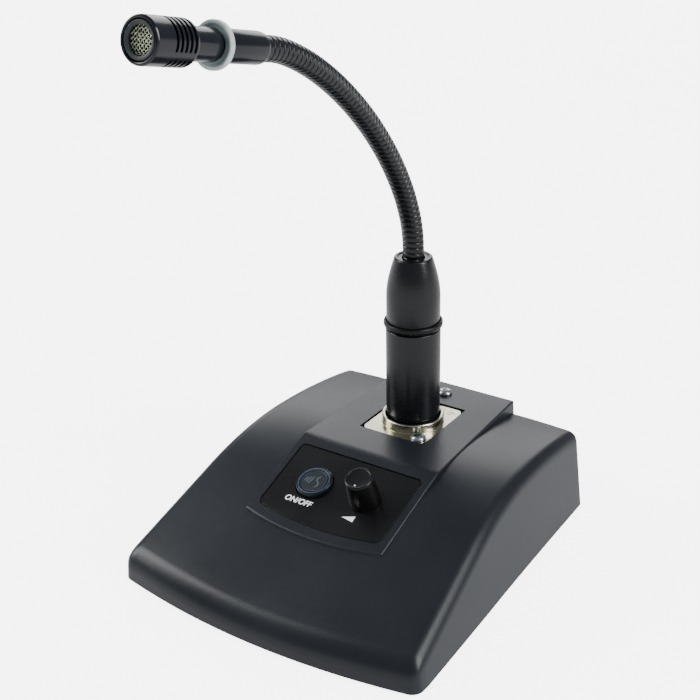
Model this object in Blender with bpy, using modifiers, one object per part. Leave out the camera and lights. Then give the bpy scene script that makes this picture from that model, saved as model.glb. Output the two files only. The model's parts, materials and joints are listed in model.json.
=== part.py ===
"""Desktop gooseneck microphone: a base with a talk button and a volume knob, a plug-in stem,
a flexible arm and a slotted microphone head.

Metres, +X to the right, +Y to the back, +Z up. The origin is the middle of the footprint,
on the surface that the feet stand on.
"""
import math

import bmesh
import bpy
from mathutils import Matrix, Vector

MM = 0.001

# ---- driving dimensions, in millimetres ------------------------------------------------------
GAP = 0.3                      # clearance between neighbouring pieces

BASE_FRONT_WIDTH = 119.0       # at the rim
BASE_BACK_WIDTH = 110.4
BASE_BACK = 67.0
BASE_FRONT_CORNER = -63.0
BASE_FRONT_BULGE = 6.6         # how far the middle of the front edge stands forward of its corners
RIM = 1.2                      # height of the lower rim above the desk
WALL = 2.4
SIDE_DRAFT = math.tan(math.radians(6.0))
BACK_DRAFT = math.tan(math.radians(3.0))
SIDE_FILLET = 5.0
FRONT_FILLET = 6.0
BACK_FILLET = 2.5
CORNER_RADIUS = 3.0

CREST_Y = 20.0                 # line where the top of the housing is highest
CREST_Z = 36.8
FRONT_ARC = 105.0              # radius of the top in front of the crest
FRONT_SLOPE = math.radians(21.0)
REAR_ARC = 220.0
CROWN_START = 26.0             # beyond this the top falls towards the sides
CROWN = 0.0012

PLATFORM_Z = 37.3
PLATFORM_BACK_HALF = 25.2
PLATFORM_FRONT_HALF = 28.2
PANEL_TOP_Y = 2.5              # where the flat top meets the panel's plane
PANEL_SLOPE = math.radians(19.5)
PANEL_EDGE_RADIUS = 10.0
PANEL_LENGTH = 38.0            # down the slope, at the corners
PANEL_BULGE = 3.4
PLATE_TOP = 4.3                # down the slope, from the panel's upper edge
PLATE_BOTTOM = 34.2
PLATE_BULGE = 2.9
PLATE_HALF = 25.3
PLATE_THICK = 1.0
PLATE_POCKET = 1.5
CONTROL_DOWN = 19.5            # centres of the button and of the knob, down the slope
CONTROL_X = 10.5

STEM_Y = 33.0
STEM_Z = 2.3                   # heights of the socket, stem and arm are measured from here
FLANGE_X = 26.0
FLANGE_Y = 30.2
FLANGE_TOP = 34.5
FLANGE_THICK = 1.6
FLANGE_SCREWS = ((9.5, -12.0), (-9.5, 12.0))
PLATFORM_SCREW = (0.0, 23.5)
LEDGE_TOP = 32.6
COLLAR_RADIUS = 11.45
COLLAR_TOP = 37.7
SOCKET_BORE = 10.3
BARREL_RADIUS = 9.9
BARREL_TOP = 72.2
SLEEVE_BOTTOM = 73.9
SLEEVE_RADIUS = 9.7
SLEEVE_TOP = 99.2
SLEEVE_RIM_RADIUS = 6.8
PIN_SPOTS = ((-3.8, 1.9), (3.8, 1.9), (0.0, -4.2))

NECK_RADIUS = 3.8              # the flexible arm
LINK_LENGTH = 14.2
LINK_GAP = 1.4                 # lets neighbouring links tilt against each other
BALL_RADIUS = 2.4
CUP_RADIUS = 2.75
FIRST_JOINT_Z = SLEEVE_TOP + 1.5
LINK_BENDS = (19.0, 10.5, 7.0, 5.5, 5.5, 5.0, 6.0, 8.0)   # degrees that each link is curved by
TIP_BEND = 10.2
TIP_BENT_LENGTH = 8.0

HEAD_RADIUS = 6.35
HEAD_START = 37.0              # all lengths of the head run from the end of the arm's bend
HEAD_END = 54.0
FERRULE_RADIUS = 4.65
FERRULE_START = 4.8
FERRULE_END = 22.2
LIGHT_RING = (23.6, 25.6)
LIGHT_RING_RADIUS = 6.7
SLOT_COUNT = 5
SLOT_PITCH = 1.8
SLOT_WIDTH = 0.95
SLOT_RIB = 2.0
RIB_TURN = 45.0

FINE = 28                      # sides of the large round pieces
COARSE = 18
SMALL = 10

OUTPUT_Z = 17.0
FOOT_SPOTS = ((-46.0, 52.0), (46.0, 52.0), (-46.0, -48.0), (46.0, -48.0))
SCREW_SPOTS = ((-47.0, 40.0), (47.0, 40.0), (-43.0, -30.0), (43.0, -30.0))


# ---- scene, collections and materials --------------------------------------------------------
def clear_scene():
    for item in list(bpy.data.objects):
        bpy.data.objects.remove(item, do_unlink=True)


def new_collection(name):
    collection = bpy.data.collections.new(name)
    bpy.context.scene.collection.children.link(collection)
    return collection


def principled(name, colour, roughness, metallic=0.0):
    material = bpy.data.materials.new(name)
    material.use_nodes = True
    shader = material.node_tree.nodes["Principled BSDF"]
    shader.inputs["Base Color"].default_value = (*colour, 1.0)
    shader.inputs["Roughness"].default_value = roughness
    shader.inputs["Metallic"].default_value = metallic
    material.diffuse_color = (*colour, 1.0)
    return material


clear_scene()
PARTS = new_collection("Parts")
CUTTERS = new_collection("Cutters")
SATIN = principled("satin_housing", (0.028, 0.031, 0.036), 0.42)
PLATE_BLACK = principled("plate_black", (0.010, 0.010, 0.012), 0.35)
CAP_BLACK = principled("button_plastic", (0.015, 0.020, 0.027), 0.38)
BLUE_LIGHT = principled("button_ring_blue", (0.075, 0.150, 0.235), 0.30)
KNOB_BLACK = principled("knob_plastic", (0.012, 0.012, 0.013), 0.45)
NICKEL = principled("nickel", (0.700, 0.660, 0.540), 0.28, 1.0)
SCREW_STEEL = principled("zinc_screw", (0.560, 0.570, 0.580), 0.30, 1.0)
DARK_STEEL = principled("plate_steel", (0.030, 0.030, 0.032), 0.55, 0.6)
RUBBER = principled("rubber", (0.012, 0.012, 0.012), 0.80)
BARREL_BLACK = principled("anodised_black", (0.013, 0.014, 0.016), 0.30, 0.4)
ARM_BLACK = principled("arm_black", (0.014, 0.015, 0.018), 0.34, 0.5)
INSULATOR = principled("insulator", (0.018, 0.018, 0.018), 0.50)
GOLD = principled("gold_contact", (0.780, 0.560, 0.210), 0.25, 1.0)
BOARD_GREEN = principled("circuit_green", (0.020, 0.110, 0.050), 0.50)
PEARL = principled("light_ring_pearl", (0.620, 0.700, 0.660), 0.30)
LIP_GREY = principled("lip_grey", (0.060, 0.085, 0.085), 0.45)
MESH_SILVER = principled("grille_silver", (0.600, 0.640, 0.520), 0.35, 0.9)


# ---- mesh helpers ----------------------------------------------------------------------------
def link_object(name, mesh, material, collection=None):
    item = bpy.data.objects.new(name, mesh)
    (collection or PARTS).objects.link(item)
    if material:
        mesh.materials.append(material)
    if collection is CUTTERS:
        item.hide_render = True
        item.display_type = "WIRE"
    return item


def finish_bmesh(name, bm, material, collection=None):
    bmesh.ops.recalc_face_normals(bm, faces=bm.faces)
    mesh = bpy.data.meshes.new(name)
    bm.to_mesh(mesh)
    bm.free()
    return link_object(name, mesh, material, collection)


def box(name, low, high, material=None, collection=None):
    """A box between two corners, in millimetres."""
    bm = bmesh.new()
    bmesh.ops.create_cube(bm, size=1.0)
    low, high = Vector(low) * MM, Vector(high) * MM
    size = high - low
    bmesh.ops.scale(bm, vec=size, verts=bm.verts)
    bmesh.ops.translate(bm, vec=(low + high) / 2, verts=bm.verts)
    return finish_bmesh(name, bm, material, collection)


def rod(name, radius, low, high, sides, material=None, collection=None, at=(0.0, 0.0)):
    """An upright cylinder in millimetres."""
    bm = bmesh.new()
    bmesh.ops.create_cone(bm, cap_ends=True, segments=sides, radius1=radius * MM, radius2=radius * MM,
                          depth=(high - low) * MM)
    middle = Vector((at[0], at[1], (low + high) / 2)) * MM
    bmesh.ops.translate(bm, vec=middle, verts=bm.verts)
    return finish_bmesh(name, bm, material, collection)


def turned(name, profile, sides, material=None, collection=None, closed=True):
    """A body of revolution about local Z from (radius, height) points in millimetres."""
    bm = bmesh.new()
    points = [bm.verts.new((radius * MM, 0.0, height * MM)) for radius, height in profile]
    pairs = list(zip(points, points[1:]))
    if closed:
        pairs.append((points[-1], points[0]))
    for first, second in pairs:
        bm.edges.new((first, second))
    mesh = bpy.data.meshes.new(name)
    bm.to_mesh(mesh)
    bm.free()
    item = link_object(name, mesh, material, collection)
    screw = item.modifiers.new("turn", "SCREW")
    screw.axis = "Z"
    screw.angle = math.tau
    screw.steps = sides
    screw.render_steps = sides
    screw.use_merge_vertices = True
    screw.merge_threshold = 0.00001
    screw.use_normal_calculate = False
    return item


def capped(name, profile, sides, material=None, collection=None):
    """A body of revolution whose profile starts and ends on the axis."""
    return turned(name, profile, sides, material, collection, closed=False)


def boolean(item, tool, operation="DIFFERENCE"):
    step = item.modifiers.new(operation.lower(), "BOOLEAN")
    step.operation = operation
    step.solver = "EXACT"
    step.object = tool


def bevel(item, width, segments=2, angle=40.0):
    step = item.modifiers.new("bevel", "BEVEL")
    step.width = width * MM
    step.segments = segments
    step.limit_method = "ANGLE"
    step.angle_limit = math.radians(angle)


def place(item, at, parent=None, rotation=None):
    item.location = Vector(at) * MM
    if rotation:
        item.rotation_euler = rotation
    if parent:
        item.parent = parent
    return item


def frame_empty(name, at, rotation=(0.0, 0.0, 0.0), parent=None):
    empty = bpy.data.objects.new(name, None)
    PARTS.objects.link(empty)
    empty.empty_display_size = 5 * MM
    return place(empty, at, parent, rotation)


def arc_points(centre, radius, start, stop, count):
    """Points of an arc in (radius, height), angles in degrees from the +radius direction."""
    points = []
    for i in range(count + 1):
        angle = math.radians(start + (stop - start) * i / count)
        points.append((centre[0] + radius * math.cos(angle), centre[1] + radius * math.sin(angle)))
    return points


# ---- the two mouldings of the housing: outer skin and hollow ---------------------------------
def half_at(y):
    """Half of the base's width at the rim."""
    share = (y - BASE_FRONT_CORNER) / (BASE_BACK - BASE_FRONT_CORNER)
    return (BASE_FRONT_WIDTH + (BASE_BACK_WIDTH - BASE_FRONT_WIDTH) * share) / 2


def crown(x):
    return CROWN * max(0.0, abs(x) - CROWN_START) ** 2


def housing_top(x, y):
    """Height of the housing's top, before its edges are rounded."""
    ahead = CREST_Y - y
    straight_from = FRONT_ARC * math.sin(FRONT_SLOPE)
    if ahead < 0:
        fall = REAR_ARC - math.sqrt(REAR_ARC ** 2 - ahead ** 2)
    elif ahead < straight_from:
        fall = FRONT_ARC - math.sqrt(FRONT_ARC ** 2 - ahead ** 2)
    else:
        fall = FRONT_ARC * (1 - math.cos(FRONT_SLOPE)) + (ahead - straight_from) * math.tan(FRONT_SLOPE)
    return CREST_Z - fall - crown(x)


def platform_top(y):
    """Height of the raised platform: flat, a rounded edge, then the panel's slope."""
    reach = PANEL_EDGE_RADIUS * math.tan(PANEL_SLOPE / 2)
    ahead = PANEL_TOP_Y + reach - y
    if ahead <= 0:
        return PLATFORM_Z
    if ahead < PANEL_EDGE_RADIUS * math.sin(PANEL_SLOPE):
        return PLATFORM_Z - PANEL_EDGE_RADIUS + math.sqrt(PANEL_EDGE_RADIUS ** 2 - ahead ** 2)
    return PLATFORM_Z - (PANEL_TOP_Y - y) * math.tan(PANEL_SLOPE)


def edge_lines(start_radius, end_radius, steps, middle):
    """Grid lines across a block, close together where its edges are rounded.

    Each line is (share of the width, distance added to it, how far the rounding drops there).
    """
    lines = []
    for i in range(steps + 1):
        angle = math.pi / 2 * i / steps
        distance = start_radius * (1 - math.cos(angle))
        lines.append((0.0, distance, start_radius * (1 - math.sin(angle))))
    for share in middle:
        lines.append((share, start_radius - (start_radius + end_radius) * share, 0.0))
    for i in range(steps, -1, -1):
        angle = math.pi / 2 * i / steps
        distance = end_radius * (1 - math.cos(angle))
        lines.append((1.0, -distance, end_radius * (1 - math.sin(angle))))
    return lines


def even_shares(count):
    return [i / (count + 1) for i in range(1, count + 1)]


def rounded_corner(across, along, radius):
    """Pull the grid's lines near a corner onto a quarter circle."""
    near_across = across[0] in (0.0, 1.0) and abs(across[1]) < radius
    near_along = along[0] in (0.0, 1.0) and abs(along[1]) < radius
    if not (near_across and near_along):
        return across[1], along[1]
    p = (radius - abs(across[1])) / radius
    q = (radius - abs(along[1])) / radius
    inset_across = radius * (1 - p * math.sqrt(1 - q * q / 2))
    inset_along = radius * (1 - q * math.sqrt(1 - p * p / 2))
    return (math.copysign(inset_across, across[1] if across[1] else 0.5 - across[0]),
            math.copysign(inset_along, along[1] if along[1] else 0.5 - along[0]))


def moulded_block(columns, rows, half_width, front, back, top, corner, spread, bottom):
    """A closed block with a rounded, curved top over walls that spread towards the bottom."""
    bm = bmesh.new()
    across_count, along_count = len(columns) - 1, len(rows) - 1
    bmesh.ops.create_grid(bm, x_segments=across_count, y_segments=along_count, size=0.5)
    deepest = max(max(line[2] for line in columns), max(line[2] for line in rows))
    for vert in bm.verts:
        across = columns[round((vert.co.x + 0.5) * across_count)]
        along = rows[round((vert.co.y + 0.5) * along_count)]
        shift_x, shift_y = rounded_corner(across, along, corner)
        rough_y = front(0.0) + (back - front(0.0)) * along[0]
        half = half_width(rough_y)
        x = -half + 2 * half * across[0] + shift_x
        y = front(x) + (back - front(x)) * along[0] + shift_y
        drop = min(math.hypot(across[2], along[2]), deepest)
        vert.co = Vector((x, y, top(x, y) - drop)) * MM
    rim = [edge for edge in bm.edges if edge.is_boundary]
    skirt = bmesh.ops.extrude_edge_only(bm, edges=rim)["geom"]
    for vert in [part for part in skirt if isinstance(part, bmesh.types.BMVert)]:
        x, y, z = vert.co / MM
        vert.co = Vector((*spread(x, y, z - bottom), bottom)) * MM
    bmesh.ops.holes_fill(bm, edges=[edge for edge in bm.edges if edge.is_boundary], sides=0)
    return bm


def housing_block(name, inset, bottom):
    """The base's own shape, or its hollow when inset by the wall."""
    half = BASE_FRONT_WIDTH / 2
    back_top = BASE_BACK - BACK_DRAFT * (housing_top(half, BASE_BACK) - SIDE_FILLET)

    def half_width(y):
        return half_at(y) - SIDE_DRAFT * (housing_top(half, y) - SIDE_FILLET - RIM) - inset

    def front(x):
        return BASE_FRONT_CORNER - BASE_FRONT_BULGE * (1 - (x / half) ** 2) + inset

    def spread(x, y, fall):
        share = (y - BASE_FRONT_CORNER) / (BASE_BACK - BASE_FRONT_CORNER)
        return x * (1 + SIDE_DRAFT * fall / half), y + BACK_DRAFT * fall * max(0.0, 2 * share - 1)

    columns = edge_lines(SIDE_FILLET - inset, SIDE_FILLET - inset, 4, even_shares(7))
    rows = edge_lines(FRONT_FILLET - inset, max(BACK_FILLET - inset, 0.5), 4, even_shares(13))
    bm = moulded_block(columns, rows, half_width, front, back_top - inset,
                       lambda x, y: housing_top(x, y) - inset, CORNER_RADIUS, spread, bottom)
    return finish_bmesh(name, bm, SATIN if inset == 0 else None, PARTS if inset == 0 else CUTTERS)


def platform_block(name, inset, bottom):
    """The raised platform with the panel's slope, or its hollow."""
    corner_y = PANEL_TOP_Y - PANEL_LENGTH * math.cos(PANEL_SLOPE)
    curve = PANEL_BULGE / PLATFORM_FRONT_HALF ** 2

    def half_width(y):
        share = max(0.0, (y - PANEL_TOP_Y) / (BASE_BACK - PANEL_TOP_Y))
        return PLATFORM_FRONT_HALF + (PLATFORM_BACK_HALF - PLATFORM_FRONT_HALF) * share - inset

    def front(x):
        return corner_y - PANEL_BULGE + curve * x * x + inset

    def spread(x, y, fall):
        share = max(0.0, (y - PANEL_TOP_Y) / (BASE_BACK - PANEL_TOP_Y))
        return x * (1 + BACK_DRAFT * fall / PLATFORM_FRONT_HALF), y + BACK_DRAFT * fall * share

    back = BASE_BACK - BACK_DRAFT * (PLATFORM_Z - RIM) - inset
    length = back - front(0.0)
    stops = [PANEL_TOP_Y - 28.0, PANEL_TOP_Y - 18.0, PANEL_TOP_Y - 9.0]
    stops += [PANEL_TOP_Y + step for step in (-1.7, -0.6, 0.6, 1.8)] + [20.0, 45.0]
    rows = edge_lines(0.4, 0.4, 1, [(stop - front(0.0)) / length for stop in stops])
    columns = edge_lines(0.5, 0.5, 1, even_shares(4))
    bm = moulded_block(columns, rows, half_width, front, back,
                       lambda x, y: platform_top(y) - inset, 0.4, spread, bottom)
    return finish_bmesh(name, bm, None, CUTTERS)


# ---- base ------------------------------------------------------------------------------------
PANEL = frame_empty("panel_frame", (0.0, PANEL_TOP_Y, PLATFORM_Z), (PANEL_SLOPE, 0.0, 0.0))
STEM = frame_empty("stem_frame", (0.0, STEM_Y, STEM_Z))
BUTTON = frame_empty("button_frame", (-CONTROL_X, -CONTROL_DOWN, 0.0), parent=PANEL)
KNOB = frame_empty("knob_frame", (CONTROL_X, -CONTROL_DOWN, 0.0), parent=PANEL)


def arc_plate(name, half, upper, lower, bulge, low, high, material=None, collection=None, corner=2.0):
    """A flat plate in the panel's plane with a curved lower edge; lengths run down the slope."""
    bm = bmesh.new()
    outline = []
    for centre, start in (((half - corner, -upper - corner), 0), ((corner - half, -upper - corner), 90)):
        for i in range(4):
            angle = math.radians(start + 30 * i)
            outline.append((centre[0] + corner * math.cos(angle), centre[1] + corner * math.sin(angle)))
    outline.append((-half, -lower + corner))
    count = 10
    for i in range(count + 1):
        x = (half - corner * 0.6) * (2 * i / count - 1)
        outline.append((x, -lower - bulge * (1 - (x / half) ** 2)))
    outline.append((half, -lower + corner))
    face = bm.faces.new([bm.verts.new((x * MM, y * MM, low * MM)) for x, y in outline])
    top = bmesh.ops.extrude_face_region(bm, geom=[face])["geom"]
    moved = [part for part in top if isinstance(part, bmesh.types.BMVert)]
    bmesh.ops.translate(bm, vec=(0.0, 0.0, (high - low) * MM), verts=moved)
    item = finish_bmesh(name, bm, material, collection)
    item.parent = PANEL
    return item


def boss(name, spot, radius, low, high, sides=16):
    return rod(name, radius, low, high, sides, None, CUTTERS, spot)


def add_bosses(housing):
    for i, spot in enumerate(SCREW_SPOTS):
        top = housing_top(*spot) - WALL * 0.85
        boolean(housing, boss("screw_boss_%d" % i, spot, 3.8, 3.5, top), "UNION")


def cut_boss_holes(housing):
    for i, spot in enumerate(SCREW_SPOTS):
        boolean(housing, boss("screw_bore_%d" % i, spot, 1.8, 2.0, 11.5, SMALL))


def stem_cutter(housing, cutter, operation="DIFFERENCE"):
    cutter.parent = STEM
    boolean(housing, cutter, operation)


def socket_seat(housing):
    ledge = box("socket_ledge", (-17.0, -19.0, 30.2), (17.0, 19.0, 33.4), None, CUTTERS)
    stem_cutter(housing, ledge, "UNION")
    stem_cutter(housing, boss("platform_boss", PLATFORM_SCREW, 4.0, 27.5, 33.4), "UNION")
    opening = box("socket_opening", (-13.5, -15.5, LEDGE_TOP), (13.5, 15.5, 40.0), None, CUTTERS)
    stem_cutter(housing, opening)
    stem_cutter(housing, rod("socket_hole", 12.2, 25.0, 40.0, FINE, None, CUTTERS))
    stem_cutter(housing, box("latch_notch", (-4.0, 10.0, 25.0), (4.0, 14.95, 40.0), None, CUTTERS))
    for i, spot in enumerate(FLANGE_SCREWS):
        stem_cutter(housing, boss("flange_bore_%d" % i, spot, 1.8, 28.0, 40.0, SMALL))
    stem_cutter(housing, boss("platform_bore", PLATFORM_SCREW, 1.8, 25.0, 40.0, SMALL))


def panel_cuts(housing):
    pocket = arc_plate("plate_pocket", PLATE_HALF, PLATE_TOP, PLATE_BOTTOM, PLATE_BULGE,
                       -PLATE_POCKET, 5.0, None, CUTTERS)
    boolean(housing, pocket)
    button_hole = rod("button_floor_hole", 7.8, -9.0, 3.0, FINE, None, CUTTERS)
    button_hole.parent = BUTTON
    boolean(housing, button_hole)
    knob_hole = rod("knob_floor_hole", 3.9, -9.0, 3.0, COARSE, None, CUTTERS)
    knob_hole.parent = KNOB
    boolean(housing, knob_hole)


def output_cut(housing):
    hole = rod("output_hole", 10.0, -10.0, 10.0, FINE, None, CUTTERS)
    place(hole, (0.0, BASE_BACK, OUTPUT_Z), rotation=(math.pi / 2, 0.0, 0.0))
    boolean(housing, hole)


def build_housing():
    housing = housing_block("housing", 0.0, RIM)
    boolean(housing, platform_block("platform_skin", 0.0, 12.0), "UNION")
    boolean(housing, housing_block("housing_hollow", WALL, -4.0))
    boolean(housing, platform_block("platform_hollow", WALL, 8.0))
    add_bosses(housing)
    socket_seat(housing)
    cut_boss_holes(housing)
    panel_cuts(housing)
    output_cut(housing)
    return housing


def build_base_plate():
    thick = 2.0
    inset = WALL + 1.1
    half = BASE_FRONT_WIDTH / 2 - inset
    back_half = BASE_BACK_WIDTH / 2 - inset
    bm = bmesh.new()
    outline = [(back_half, BASE_BACK - inset), (-back_half, BASE_BACK - inset)]
    count = 14
    for i in range(count + 1):
        x = half * (2 * i / count - 1)
        front = BASE_FRONT_CORNER - BASE_FRONT_BULGE * (1 - (2 * x / BASE_FRONT_WIDTH) ** 2)
        outline.append((x, front + inset + 0.2))
    points = [bm.verts.new((x * MM, y * MM, RIM * MM)) for x, y in outline]
    bm.faces.new(points)
    corners = [points[0], points[1], points[2], points[-1]]
    bmesh.ops.bevel(bm, geom=corners, offset=3.0 * MM, segments=3, profile=0.5, affect="VERTICES")
    top = bmesh.ops.extrude_face_region(bm, geom=list(bm.faces))["geom"]
    moved = [part for part in top if isinstance(part, bmesh.types.BMVert)]
    bmesh.ops.translate(bm, vec=(0.0, 0.0, thick * MM), verts=moved)
    plate = finish_bmesh("base_plate", bm, DARK_STEEL)
    for i, spot in enumerate(SCREW_SPOTS):
        boolean(plate, boss("plate_bore_%d" % i, spot, 1.8, 0.0, 5.0, SMALL))
        boolean(plate, boss("plate_sink_%d" % i, spot, 3.3, 0.0, RIM + 1.2, 16))


def build_feet_and_screws():
    corners = ("rear_left", "rear_right", "front_left", "front_right")
    for corner, spot in zip(corners, FOOT_SPOTS):
        profile = [(0.0, RIM - GAP), (6.0, RIM - GAP), (6.0, 0.25), (5.7, 0.0), (0.0, 0.0)]
        place(capped("foot_" + corner, profile, COARSE, RUBBER), (*spot, 0.0))
    for corner, spot in zip(corners, SCREW_SPOTS):
        profile = [(0.0, 10.5), (1.0, 10.5), (1.45, 9.8), (1.45, 2.1), (2.9, 2.1), (2.9, 1.45),
                   (2.7, 1.25), (0.0, 1.25)]
        screw = place(capped("base_screw_" + corner, profile, SMALL, SCREW_STEEL), (*spot, 0.0))
        cross_cut(screw, 1.25, 0.5, 2.0, upward=False)


def cross_cut(screw, level, depth, half, upward=True):
    """A cross recess in a screw's head."""
    for i, (wide, narrow) in enumerate(((half, 0.35), (0.35, half))):
        low, high = (level - depth, level + 1.0) if upward else (level - 1.0, level + depth)
        cutter = box("%s_cross_%d" % (screw.name, i), (-wide, -narrow, low), (wide, narrow, high),
                     None, CUTTERS)
        cutter.location = screw.location
        cutter.parent = screw.parent
        boolean(screw, cutter)


def pan_screw(name, at, seat, length):
    """A pan-head cross screw standing on a seat, at (x, y) from the stem's axis."""
    head = [(0.0, 1.75), (0.9, 1.7), (1.8, 1.45), (2.45, 1.0), (2.75, 0.45), (2.75, 0.0)]
    shank = [(1.5, 0.0), (1.5, 0.6 - length), (1.0, -length), (0.0, -length)]
    screw = capped(name, head + shank, 16, SCREW_STEEL)
    place(screw, (*at, seat), STEM)
    cross_cut(screw, 1.75, 0.8, 1.35)


def hex_nut(name, bore, corner, low, high, parent):
    nut = rod(name, corner, low, high, 6, SCREW_STEEL)
    nut.parent = parent
    hole = rod(name + "_bore", bore, low - 1.0, high + 1.0, COARSE, None, CUTTERS)
    hole.parent = parent
    boolean(nut, hole)


def build_panel():
    plate = arc_plate("control_plate", PLATE_HALF - 0.35, PLATE_TOP + 0.35, PLATE_BOTTOM - 0.35,
                      PLATE_BULGE, GAP - PLATE_POCKET, GAP - PLATE_POCKET + PLATE_THICK, PLATE_BLACK, None, 1.7)
    button_hole = rod("button_plate_hole", 6.85, -3.0, 3.0, FINE, None, CUTTERS)
    button_hole.parent = BUTTON
    boolean(plate, button_hole)
    knob_hole = rod("knob_plate_hole", 3.85, -3.0, 3.0, COARSE, None, CUTTERS)
    knob_hole.parent = KNOB
    boolean(plate, knob_hole)
    board = box("circuit_board", (-23.0, -34.0, -12.0), (23.0, -5.0, -10.4), BOARD_GREEN)
    board.parent = PANEL


def build_button():
    cap = [(0.0, 1.2), (4.95, 1.3), (4.95, 0.6), (6.2, 0.6), (6.2, 1.3), (6.5, 1.0), (6.5, -2.6),
           (7.3, -2.6), (7.3, -3.4), (2.0, -3.4), (2.0, -5.0), (0.0, -5.0)]
    capped("button_cap", cap, FINE, CAP_BLACK).parent = BUTTON
    ring = [(5.92, 1.35), (5.92, 0.9), (5.23, 0.9), (5.23, 1.35)]
    turned("button_light_ring", ring, FINE, BLUE_LIGHT).parent = BUTTON
    plunger = [(0.0, -5.3), (1.6, -5.3), (1.6, -8.0), (0.0, -8.0)]
    capped("switch_plunger", plunger, SMALL, CAP_BLACK).parent = BUTTON
    switch = box("button_switch", (-3.0, -3.0, -10.1), (3.0, 3.0, -6.5), INSULATOR)
    switch.parent = BUTTON
    bore = rod("switch_bore", 1.95, -9.6, -5.0, SMALL, None, CUTTERS)
    bore.parent = BUTTON
    boolean(switch, bore)


def build_knob():
    knob = [(0.0, 11.2), (4.3, 11.2), (4.75, 11.05), (4.95, 10.6), (5.6, 0.3), (5.15, 0.3),
            (5.15, 3.0), (2.7, 3.0), (2.7, 9.6), (0.0, 9.6)]
    capped("knob", knob, FINE, KNOB_BLACK).parent = KNOB
    shaft = [(0.0, 9.2), (2.1, 9.2), (2.4, 8.9), (2.4, -3.8), (0.0, -3.8)]
    capped("pot_shaft", shaft, COARSE, SCREW_STEEL).parent = KNOB
    body = [(0.0, -4.3), (2.7, -4.3), (2.7, 1.9), (3.5, 1.9), (3.5, -2.8), (8.0, -2.8), (8.0, -10.1),
            (0.0, -10.1)]
    capped("pot_body", body, COARSE, SCREW_STEEL).parent = KNOB
    hex_nut("pot_nut", 3.8, 4.85, 0.1, 1.6, KNOB)


# ---- panel socket ----------------------------------------------------------------------------
def build_socket():
    profile = [(SOCKET_BORE, COLLAR_TOP), (COLLAR_RADIUS - 0.3, COLLAR_TOP), (COLLAR_RADIUS, COLLAR_TOP - 0.3),
               (COLLAR_RADIUS, FLANGE_TOP + 0.6), (COLLAR_RADIUS + 0.5, FLANGE_TOP - 0.4),
               (11.8, FLANGE_TOP - 0.8), (11.8, 10.0), (SOCKET_BORE, 10.0)]
    shell = turned("socket_shell", profile, FINE, NICKEL)
    shell.parent = STEM
    flange = box("socket_flange", (-FLANGE_X / 2, -FLANGE_Y / 2, FLANGE_TOP - FLANGE_THICK),
                 (FLANGE_X / 2, FLANGE_Y / 2, FLANGE_TOP), None, CUTTERS)
    bevel_upright(flange, 3.0)
    flange.parent = STEM
    bore = rod("flange_bore", 11.0, 30.0, 40.0, FINE, None, CUTTERS)
    bore.parent = STEM
    boolean(flange, bore)
    boolean(shell, flange, "UNION")
    notch = box("flange_notch", (-3.8, 12.0, 30.0), (3.8, 18.0, 40.0), None, CUTTERS)
    notch.parent = STEM
    boolean(shell, notch)
    for i, spot in enumerate(FLANGE_SCREWS):
        hole = rod("flange_hole_%d" % i, 1.8, 30.0, 40.0, SMALL, None, CUTTERS, spot)
        hole.parent = STEM
        boolean(shell, hole)


def bevel_upright(item, radius):
    """Round the upright edges of a box."""
    mesh = item.data
    weights = mesh.attributes.new("bevel_weight_edge", "FLOAT", "EDGE")
    for edge in mesh.edges:
        first, second = (mesh.vertices[i].co for i in edge.vertices)
        upright = abs(first.x - second.x) + abs(first.y - second.y) < 1e-6
        weights.data[edge.index].value = 1.0 if upright else 0.0
    step = item.modifiers.new("corners", "BEVEL")
    step.width = radius * MM
    step.segments = 4
    step.limit_method = "WEIGHT"


def build_socket_inside():
    insert = capped("socket_insert", [(0.0, 36.5), (7.3, 36.5), (7.6, 36.2), (7.6, 15.0), (9.9, 15.0),
                                      (9.9, 11.0), (0.0, 11.0)], FINE, INSULATOR)
    insert.parent = STEM
    for i, (x, y) in enumerate(PIN_SPOTS):
        bore = rod("contact_bore_%d" % i, 2.1, 8.0, 40.0, SMALL, None, CUTTERS, (x, y))
        bore.parent = STEM
        boolean(insert, bore)
        profile = [(0.0, 20.0), (1.45, 20.0), (1.45, 35.6), (1.8, 35.6), (1.8, 12.0), (0.9, 12.0),
                   (0.9, 7.0), (0.0, 7.0)]
        place(capped("socket_contact_%d" % (i + 1), profile, SMALL, GOLD), (x, y, 0.0), STEM)
    tab = box("socket_latch", (-3.3, 12.4, 26.0), (3.3, 14.6, 36.0), NICKEL)
    tab.parent = STEM
    bevel(tab, 0.3, 1)


# ---- rear output -----------------------------------------------------------------------------
def build_output():
    rear = frame_empty("output_frame", (0.0, BASE_BACK + 0.35, OUTPUT_Z), (-math.pi / 2, 0.0, 0.0))
    shell = [(8.2, 1.5), (11.9, 1.5), (12.2, 1.2), (12.2, 0.0), (9.6, 0.0), (9.6, -20.0), (8.2, -20.0)]
    turned("output_shell", shell, FINE, NICKEL).parent = rear
    hex_nut("output_nut", 9.95, 12.4, -7.4, -4.8, rear)
    insert = capped("output_insert", [(0.0, -15.0), (7.85, -15.0), (7.85, -19.5), (0.0, -19.5)], COARSE,
                    INSULATOR)
    insert.parent = rear
    for i, (x, y) in enumerate(PIN_SPOTS):
        bore = rod("output_bore_%d" % i, 1.5, -25.0, -10.0, SMALL, None, CUTTERS, (x, y))
        bore.parent = rear
        boolean(insert, bore)
        profile = [(0.0, -2.0), (0.8, -2.2), (1.2, -2.9), (1.2, -22.0), (0.0, -22.0)]
        place(capped("output_pin_%d" % (i + 1), profile, SMALL, GOLD), (x, y, 0.0), rear)


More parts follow.
